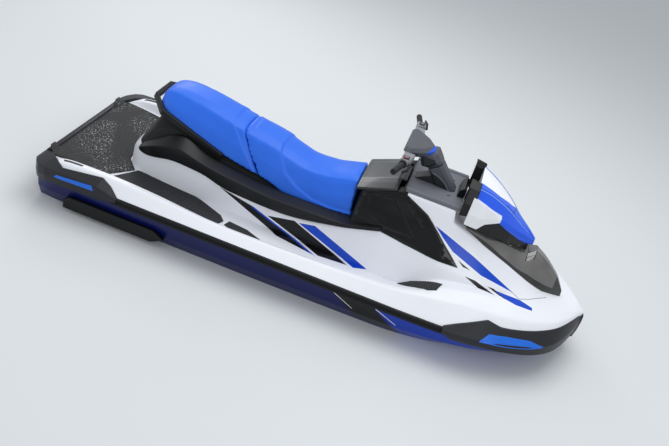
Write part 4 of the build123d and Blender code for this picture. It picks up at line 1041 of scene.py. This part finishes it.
# Upper faces painted a lighter blue, as a painted highlight
HOOD_PAINTED_HIGHLIGHT = [
    [(.70, -.01), (.70, .146), (.790, .141), (.868, .113), (.978, .077), (.978, -.01)],
    [(.978, -.01), (.978, .077), (1.028, .059), (1.087, .039), (1.160, .025), (1.160, -.01)],
]
HOOD_SEAM = [(1.040, -.01), (1.0435, -.01), (1.032, .060), (1.0285, .060)]
# Bright line along the fold: a painted highlight
HOOD_FOLD_HIGHLIGHT = [(.790, .1455), (.868, .1175), (.978, .0815), (1.087, .0425), (1.160, .0275)]
UNDERCUT = .016  # depth of the rim


def hood_section(x):
    *corners, ridge = fair(HOOD, x)
    (edge_y, edge_z), (flank_y, flank_z), (fold_y, fold_z), crest = pairs(corners)
    step = min(1, fold_y / .06)  # the fold fades out towards the tip
    return [
        (0, edge_z - UNDERCUT), (edge_y - .006, edge_z - UNDERCUT), (edge_y, edge_z),
        (flank_y + (edge_y - flank_y) * .45, flank_z), (fold_y + .004 * step, fold_z - .003 * step),
        (fold_y, fold_z + .005 * step), crest, (0, ridge),
    ]


hood_gelcoat, tree, shader = finish("gelcoat_blue", "#1B55DE", 0.16, ior=1.4, coat=0.15)
clouded(tree, shader, 0.2, "#164FD6", "#1F5BE6")
# The lighter faces and the fold's bright line are painted highlights; the white panel and the seam are paint
painted(tree, shader, [
    ("#3F6CE6", HOOD_PAINTED_HIGHLIGHT), ("#86A6F6", stroke(HOOD_FOLD_HIGHLIGHT, .003)), ("#EDEFF3", [HOOD_WHITE]),
    ("#0C0E1A", [HOOD_SEAM]),
], SEEN_FROM_ABOVE)
piece("hood_nose_moulding", lofted(
    stations(.790, 1.212, 0.025), hood_section, [0, .003, .003, .002, .0015, .0015, .004, 0]),
    hood_gelcoat, ["hood_nose"], "hood")

# %% [markdown]
# The white wings under the mirrors are folded sheets: five corners a section, on straight lines, with
# small equal radii. They ride on the hood and open with it.

# %% Hood wings
# (x, low y, low z, crease y, crease z, top y, top z)
WING = [
    (.780, .240, .688, .246, .764, .218, .854), (.857, .236, .682, .238, .753, .208, .826),
    (.890, .226, .724, .224, .759, .203, .811), (.970, .189, .748, .186, .768, .178, .774),
]


def wing_section(x):
    low, crease, top = pairs(straight(WING, x))
    return [(low[0] - .034, low[1] + .004), low, crease, top, (top[0] - .044, top[1] - .004)]


wing_gelcoat, tree, shader = finish("gelcoat_white_wings", "#E9EBF0", 0.14, coat=0.8)
clouded(tree, shader, 0.1, "#E4E6EC", "#EEF0F4")
piece("hood_wing_mouldings", lofted(
    stations(.780, .970, 0.03, (.851, .857, .863, .884, .890, .896)), wing_section, .003, ring=True),
    wing_gelcoat, ["hood_wing_left", "hood_wing_right"], "hood")

# %% [markdown]
# Gloss black ABS shows nothing but reflections. What makes it look moulded and not like glass is a
# slight waviness over 8 cm and a haze of fine dust, in spots of about 2 cm, in the roughness. The side
# panel is cut in three sheets, base, front band and raised pad, which are pressed onto the pedestal.

# %% Gloss black panels
gloss_abs, tree, shader = finish("abs_gloss_black", "#040405", 0.1, ior=1.42)
place = add_node(tree, "TexCoord").outputs["Object"]
wave = add_node(tree, "TexNoise", {"Vector": place, "Scale": 12.0, "Detail": 1.0})
bump = add_node(tree, "Bump", {"Height": wave.outputs["Fac"], "Strength": 0.15, "Distance": 0.002})
tree.links.new(bump.outputs[0], shader.inputs["Normal"])
dust = add_node(tree, "TexNoise", {"Vector": place, "Scale": 60.0, "Detail": 5.0})
haze = add_node(tree, "MapRange", {"Value": dust.outputs["Fac"], "To Min": .06, "To Max": .2})
tree.links.new(haze.outputs[0], shader.inputs["Roughness"])

# (x, z) of each sheet
PANEL = [
    (.182, .500), (.182, .626), (.300, .678), (.408, .720), (.440, .724), (.583, .660), (.845, .452),
    (.647, .452), (.509, .455), (.358, .470), (.282, .492),
]
PANEL_BAND = [
    (.452, .714), (.583, .657), (.806, .478), (.780, .462), (.560, .596), (.470, .655), (.425, .700),
]
PANEL_PAD = [(.226, .650), (.392, .674), (.560, .508), (.374, .492), (.250, .540)]
for name, corners, thickness in (("base", PANEL, .004), ("band", PANEL_BAND, .008), ("pad", PANEL_PAD, .007)):
    piece("side_panel_" + name, both_sides(laid(corners, deck_high, 1, thickness, .03)), gloss_abs,
          ["side_panel_left", "side_panel_right"], levels=0)

# %% [markdown]
# The panel ahead of the hood is a smoked acrylic sheet, opaque black in a band along its edge and at
# its tip, with painted shade along its step and painted reflections clouding its grey. The bands are
# paint behind the sheet, so they and the step's shade are outlines seen from above.

# %% Bow panel
# (x, edge y, edge z, shoulder y, shoulder z, top y, top z)
BOW_PANEL = [
    (.808, .203, .631, .188, .648, .168, .653), (.940, .198, .582, .174, .612, .150, .624),
    (1.050, .183, .532, .146, .582, .126, .600), (1.165, .155, .472, .098, .538, .076, .556),
    (1.205, .141, .450, .078, .538, .050, .556), (1.245, .127, .426, .060, .564, .030, .582),
    (1.326, .095, .380, .050, .514, .024, .537), (1.432, .055, .338, .036, .424, .016, .450),
    (1.490, .026, .325, .018, .352, .008, .366),
]
# (x, y) along the inner side of the band, out to y = .25
BAND_LINE = [(.80, .196), (1.050, .172), (1.165, .143), (1.326, .083), (1.432, .044)]
PANEL_TIP = [(1.422, -.01), (1.422, .07), (1.50, .05), (1.50, -.01)]
bands = [[(a[0], .25), a, b, (b[0], .25)] for a, b in zip(BAND_LINE, BAND_LINE[1:])]
# Dark strokes along the step lines: painted shade in the step
steps = stroke([(1.203, -.01), (1.203, .09)], .006) + stroke([(1.247, -.01), (1.247, .07)], .005)


def bow_panel_section(x):
    edge, shoulder, top = pairs(straight(BOW_PANEL, x))
    under = edge[1] - .06
    return [(0, under), (edge[0] - .014, under), edge, shoulder, top, (0, top[1])]


smoked_painted_reflection, tree, shader = finish("acrylic_smoked", "#4A4847", 0.14, coat=1.0)
# A broad cloud from dark to light grey: painted reflections over the smoked sheet
clouded(tree, shader, 0.15, "#3A3939", "#7A7875", 1.0)
painted(tree, shader, [("#141416", bands + [PANEL_TIP] + steps)], SEEN_FROM_ABOVE)
panel = piece("bow_panel_moulding", lofted(
    stations(.808, 1.490, 0.03, (1.201, 1.205, 1.245, 1.249)), bow_panel_section,
    [0, .004, .005, .008, .006, 0]), smoked_painted_reflection, ["bow_panel"])
# Mouth of the storage bin, narrower at its front
cut_out(panel, (.84, -.112, .32), (1.045, .112, .9))
cut_out(panel, (1.03, -.088, .32), (1.09, .088, .9))
print("bow panel", len(panel.data.polygons), "faces")

# %% [markdown]
# The floor around the steering column is grained grey plastic with a raised rail along each side,
# which catches the light as a thin line.

# %% Console floor with its side rails
CONSOLE = [(0, .736), (.213, .736), (.213, .754), (.206, .762), (.192, .760), (.184, .749), (0, .749)]
console_plastic = grained("polypropylene_grey", "#64666F", 0.5, 0.0014, 0.5, 0.00025)[0]
piece("console_moulding", lofted(
    stations(.412, .735, 0.05), lambda x: CONSOLE, [0, .003, .003, .004, .004, .004, 0]),
    console_plastic, ["console"])

# %% [markdown]
# The next mouldings have the right forms already, only their corners are too sharp. A copy of each is
# remeshed finely and smoothed, which rounds its corners by a few millimetres, as a mould does. First
# come their plastics: the steering head is dark below its pad and has a blue insert, the column's side
# is painted black as painted shade in its recess with a painted highlight along its front edge, and
# the lid's top is painted lighter as a painted reflection.

# %% Plastics of the steering and the lid
# Outlines seen from the side: (x, z)
HEAD_ACCENT = [(.444, .931), (.490, .970), (.498, .948), (.472, .924)]
# Dark below the head's pad, on the neck
HEAD_DARK_BELOW = [(.38, .83), (.38, .912), (.506, .910), (.524, .886), (.50, .85)]
# Near side of the column painted black as painted shade in its recess, and a light stroke along its front edge
# as a painted highlight
COLUMN_SIDE_SHADE = [(.42, .74), (.42, .84), (.530, .816), (.562, .806), (.600, .784), (.626, .758), (.640, .74)]
COLUMN_EDGE_HIGHLIGHT = [(.520, .824), (.566, .811), (.606, .787), (.650, .742)]
# Outline seen from above: (x, y), the lid's top, painted lighter as a painted reflection of the sky
LID_TOP_REFLECTION = [(.17, -.01), (.17, .142), (.390, .150), (.390, -.01)]
head_plastic, tree, shader = grained("polyurethane_grey", "#55575F", 0.55, 0.0012, 0.4)
clouded(tree, shader, 0.05, "#45474F", "#50525B")
painted(tree, shader, [("#16171B", [HEAD_DARK_BELOW]), ("#2257D6", [HEAD_ACCENT])], SEEN_FROM_THE_SIDE)
column_plastic, tree, shader = grained("polypropylene_column", "#474952", 0.5, 0.0014, 0.4)
clouded(tree, shader, 0.08, "#43454E", "#4C4E57")
painted(tree, shader, [
    ("#1A1B1F", [COLUMN_SIDE_SHADE]), ("#7C7E86", stroke(COLUMN_EDGE_HIGHLIGHT, .004)),
], SEEN_FROM_THE_SIDE)
lid_plastic, tree, shader = grained("polypropylene_lid", "#1C1D21", 0.3, 0.0014, 0.3, coat=0.3)
clouded(tree, shader, 0.08, "#17181B", "#1E1F23")
painted(tree, shader, [("#34353B", [LID_TOP_REFLECTION])], SEEN_FROM_ABOVE)
pod_plastic = grained("polyamide_grey_pods", "#85878C", 0.4, 0.0012, 0.3)[0]
red_plastic = grained("polyamide_red_button", "#B4241C", 0.4, 0.001, 0.2, 0.0001)[0]
print("plastics:", [plastic.name for plastic in (head_plastic, column_plastic, lid_plastic, pod_plastic)])

# %% [markdown]
# A copy of a solid keeps its place and its size. Small parts get a finer voxel than large ones, and a
# few more rounds of smoothing where the corners of the real part are broad.

# %% Rounded mouldings


def softened(node, voxel, rounds):
    """Copy of a plain solid with rounded corners. A solid is loose triangles, so they are merged first."""
    bm = bmesh.new()
    bm.from_mesh(frame["nodes"][node].data)
    bmesh.ops.remove_doubles(bm, verts=bm.verts, dist=1e-6)
    made = placed(node + "_moulding", bm)
    rounded(made, voxel, rounds)
    return made


# Node, voxel in metres, rounds of smoothing, plastic, slot, body
MOULDED = [
    ("grab_handle", .0035, 6, trim_plastic, "trim_black", "craft"),
    ("sponson_left", .005, 6, trim_plastic, "trim_black", "craft"),
    ("sponson_right", .005, 6, trim_plastic, "trim_black", "craft"),
    ("steering_column", .003, 4, column_plastic, "trim_black", "craft"),
    ("steering_head", .003, 3, head_plastic, "trim_black", "steering"),
    ("control_pod_left", .0015, 5, pod_plastic, "trim_black", "steering"),
    ("control_pod_right", .0015, 5, pod_plastic, "trim_black", "steering"),
    ("mirror_left", .003, 9, trim_plastic, "gloss_black", "hood"),
    ("mirror_right", .003, 9, trim_plastic, "gloss_black", "hood"),
    ("glove_lid", .003, 4, lid_plastic, "trim_black", "glove_lid"),
    ("hood_tray", .003, 6, gloss_abs, "gloss_black", "hood"),
]
for node, voxel, rounds, plastic, slot, body in MOULDED:
    dress(softened(node, voxel, rounds), plastic, [node], body)

# %% [markdown]
# Small fittings finish the controls: a clamp that holds each pod, a switch plate with a red stop
# button or a grey key on it, and two dark sheets in the floor of the console as painted shade in
# its drains. Each one is a small slab with rounded edges, cut in plan.

# %% Clamps, switches and drains
CLAMP = [(.335, .150), (.332, .216), (.388, .216), (.398, .150)]
PLATE = [(.342, .226), (.342, .268), (.376, .266), (.376, .224)]
STOP = [(.346, -.262), (.346, -.250), (.358, -.250), (.358, -.262)]
# Dark sheet as painted shade in a drain
DRAIN_SHADE = [(.638, .103), (.660, .093), (.663, .099), (.641, .109)]
KEY_LEFT = [(.348, .237), (.348, .249), (.370, .249), (.370, .237)]
KEY_RIGHT = [(.348, -.249), (.348, -.237), (.370, -.237), (.370, -.249)]
# Name, outline, low z, high z, rounding, plastic, body, and whether the other side has one too
FITTINGS = [
    ("pod_clamps", CLAMP, .902, .942, .006, pod_plastic, "steering", True),
    ("switch_plates", PLATE, .944, .954, .002, trim_plastic, "steering", True),
    ("stop_button", STOP, .952, .959, .0015, red_plastic, "steering", False),
    ("keys_0", KEY_RIGHT, .952, .957, .0012, pod_plastic, "steering", False),
    ("keys_1", KEY_LEFT, .952, .957, .0012, pod_plastic, "steering", False),
    ("console_drains", DRAIN_SHADE, .748, .7500, .0005, trim_plastic, "craft", True),
]
for name, corners, low, high, rounding, plastic, body, twin in FITTINGS:
    bm = slab(corners, 2, low, high, rounding)
    piece(name, both_sides(bm) if twin else bm, plastic, [], body, levels=0)

# %% [markdown]
# What is left keeps the plain solid's own shape, because it is already exact: tubes, castings, glass
# and small fittings. Each one still gets a finish with the marks of how it was made.

# %% Finishes of the exact solids
steel, tree, shader = finish("stainless_steel_brushed", "#C4C6C9", 0.28, metallic=1.0)
place = add_node(tree, "TexCoord").outputs["Object"]
# Brush lines 0.5 mm wide run fore and aft
lines = add_node(tree, "Mapping", {"Vector": place, "Scale": (10.0, 2000.0, 2000.0)})
brushed = add_node(tree, "TexNoise", {"Vector": lines.outputs[0], "Scale": 1.0, "Detail": 2.0})
rough = add_node(tree, "MapRange", {"Value": brushed.outputs["Fac"], "To Min": .2, "To Max": .38})
tree.links.new(rough.outputs[0], shader.inputs["Roughness"])

grip_rubber, tree, shader = finish("grip_rubber", "#131315", 0.7)
place = add_node(tree, "TexCoord").outputs["Object"]
# Small diamonds 4 mm apart
turned = add_node(tree, "Mapping", {"Vector": place, "Rotation": (0, 0, radians(45))})
studs = add_node(tree, "TexVoronoi", {"Vector": turned.outputs[0], "Scale": 1 / 0.004, "Randomness": 0.0})
bump = add_node(tree, "Bump", {"Height": studs.outputs["Distance"], "Strength": 0.6, "Distance": 0.001})
tree.links.new(bump.outputs[0], shader.inputs["Normal"])

glass, tree, shader = finish("mirror_silvered", "#DDE3E8", 0.03, metallic=1.0)
place = add_node(tree, "TexCoord").outputs["Object"]
# Faint smears about 40 mm across
smears = add_node(tree, "TexNoise", {"Vector": place, "Scale": 25.0, "Detail": 3.0})
film = add_node(tree, "MapRange", {"Value": smears.outputs["Fac"], "To Min": .01, "To Max": .08})
tree.links.new(film.outputs[0], shader.inputs["Roughness"])

window, tree, shader = finish("display_window_acrylic", "#08090B", 0.3, ior=1.35)
clouded(tree, shader, 0.03, "#060709", "#101318")
casting, tree, shader = grained(
    "aluminium_casting_painted", "#8B8E93", 0.42, 0.0025, 0.5, 0.0004, 5.0, metallic=0.4)
clouded(tree, shader, 0.06, "#7F8287", "#95989D")
anodised = grained("aluminium_anodised_black", "#1A1B1D", 0.34, 0.0008, 0.2, 0.0001, metallic=0.6)[0]
iron = grained("cast_iron", "#4A4B4D", 0.6, 0.004, 0.6, 0.0006, 6.0, metallic=0.5)[0]

BY_SLOT = {
    "hull_gelcoat": hull_gelcoat, "deck_gelcoat": deck_gelcoat, "bumper": bumper_plastic,
    "accent_blue": accent_acrylic, "trim_black": trim_plastic, "mat": foam_ribbed, "seat_vinyl": vinyl,
    "gloss_black": gloss_abs, "cowl_blue": hood_gelcoat, "cowl_white": wing_gelcoat, "steel": steel,
    "grip": grip_rubber, "lever": anodised, "mirror_glass": glass, "gauge": window,
    "cast_aluminium": casting, "engine": iron,
}
BY_NODE = {"hood_hinge": trim_plastic, "glove_hinge": trim_plastic, "handlebar": anodised}
slots = {row["node"]: row["material_slot"] for row in frame["record"]["subparts"]}
for name, solid in frame["nodes"].items():
    solid.data.materials.clear()
    solid.data.materials.append(BY_NODE.get(name, BY_SLOT[slots[name]]))
print("finishes:", len(BY_SLOT))
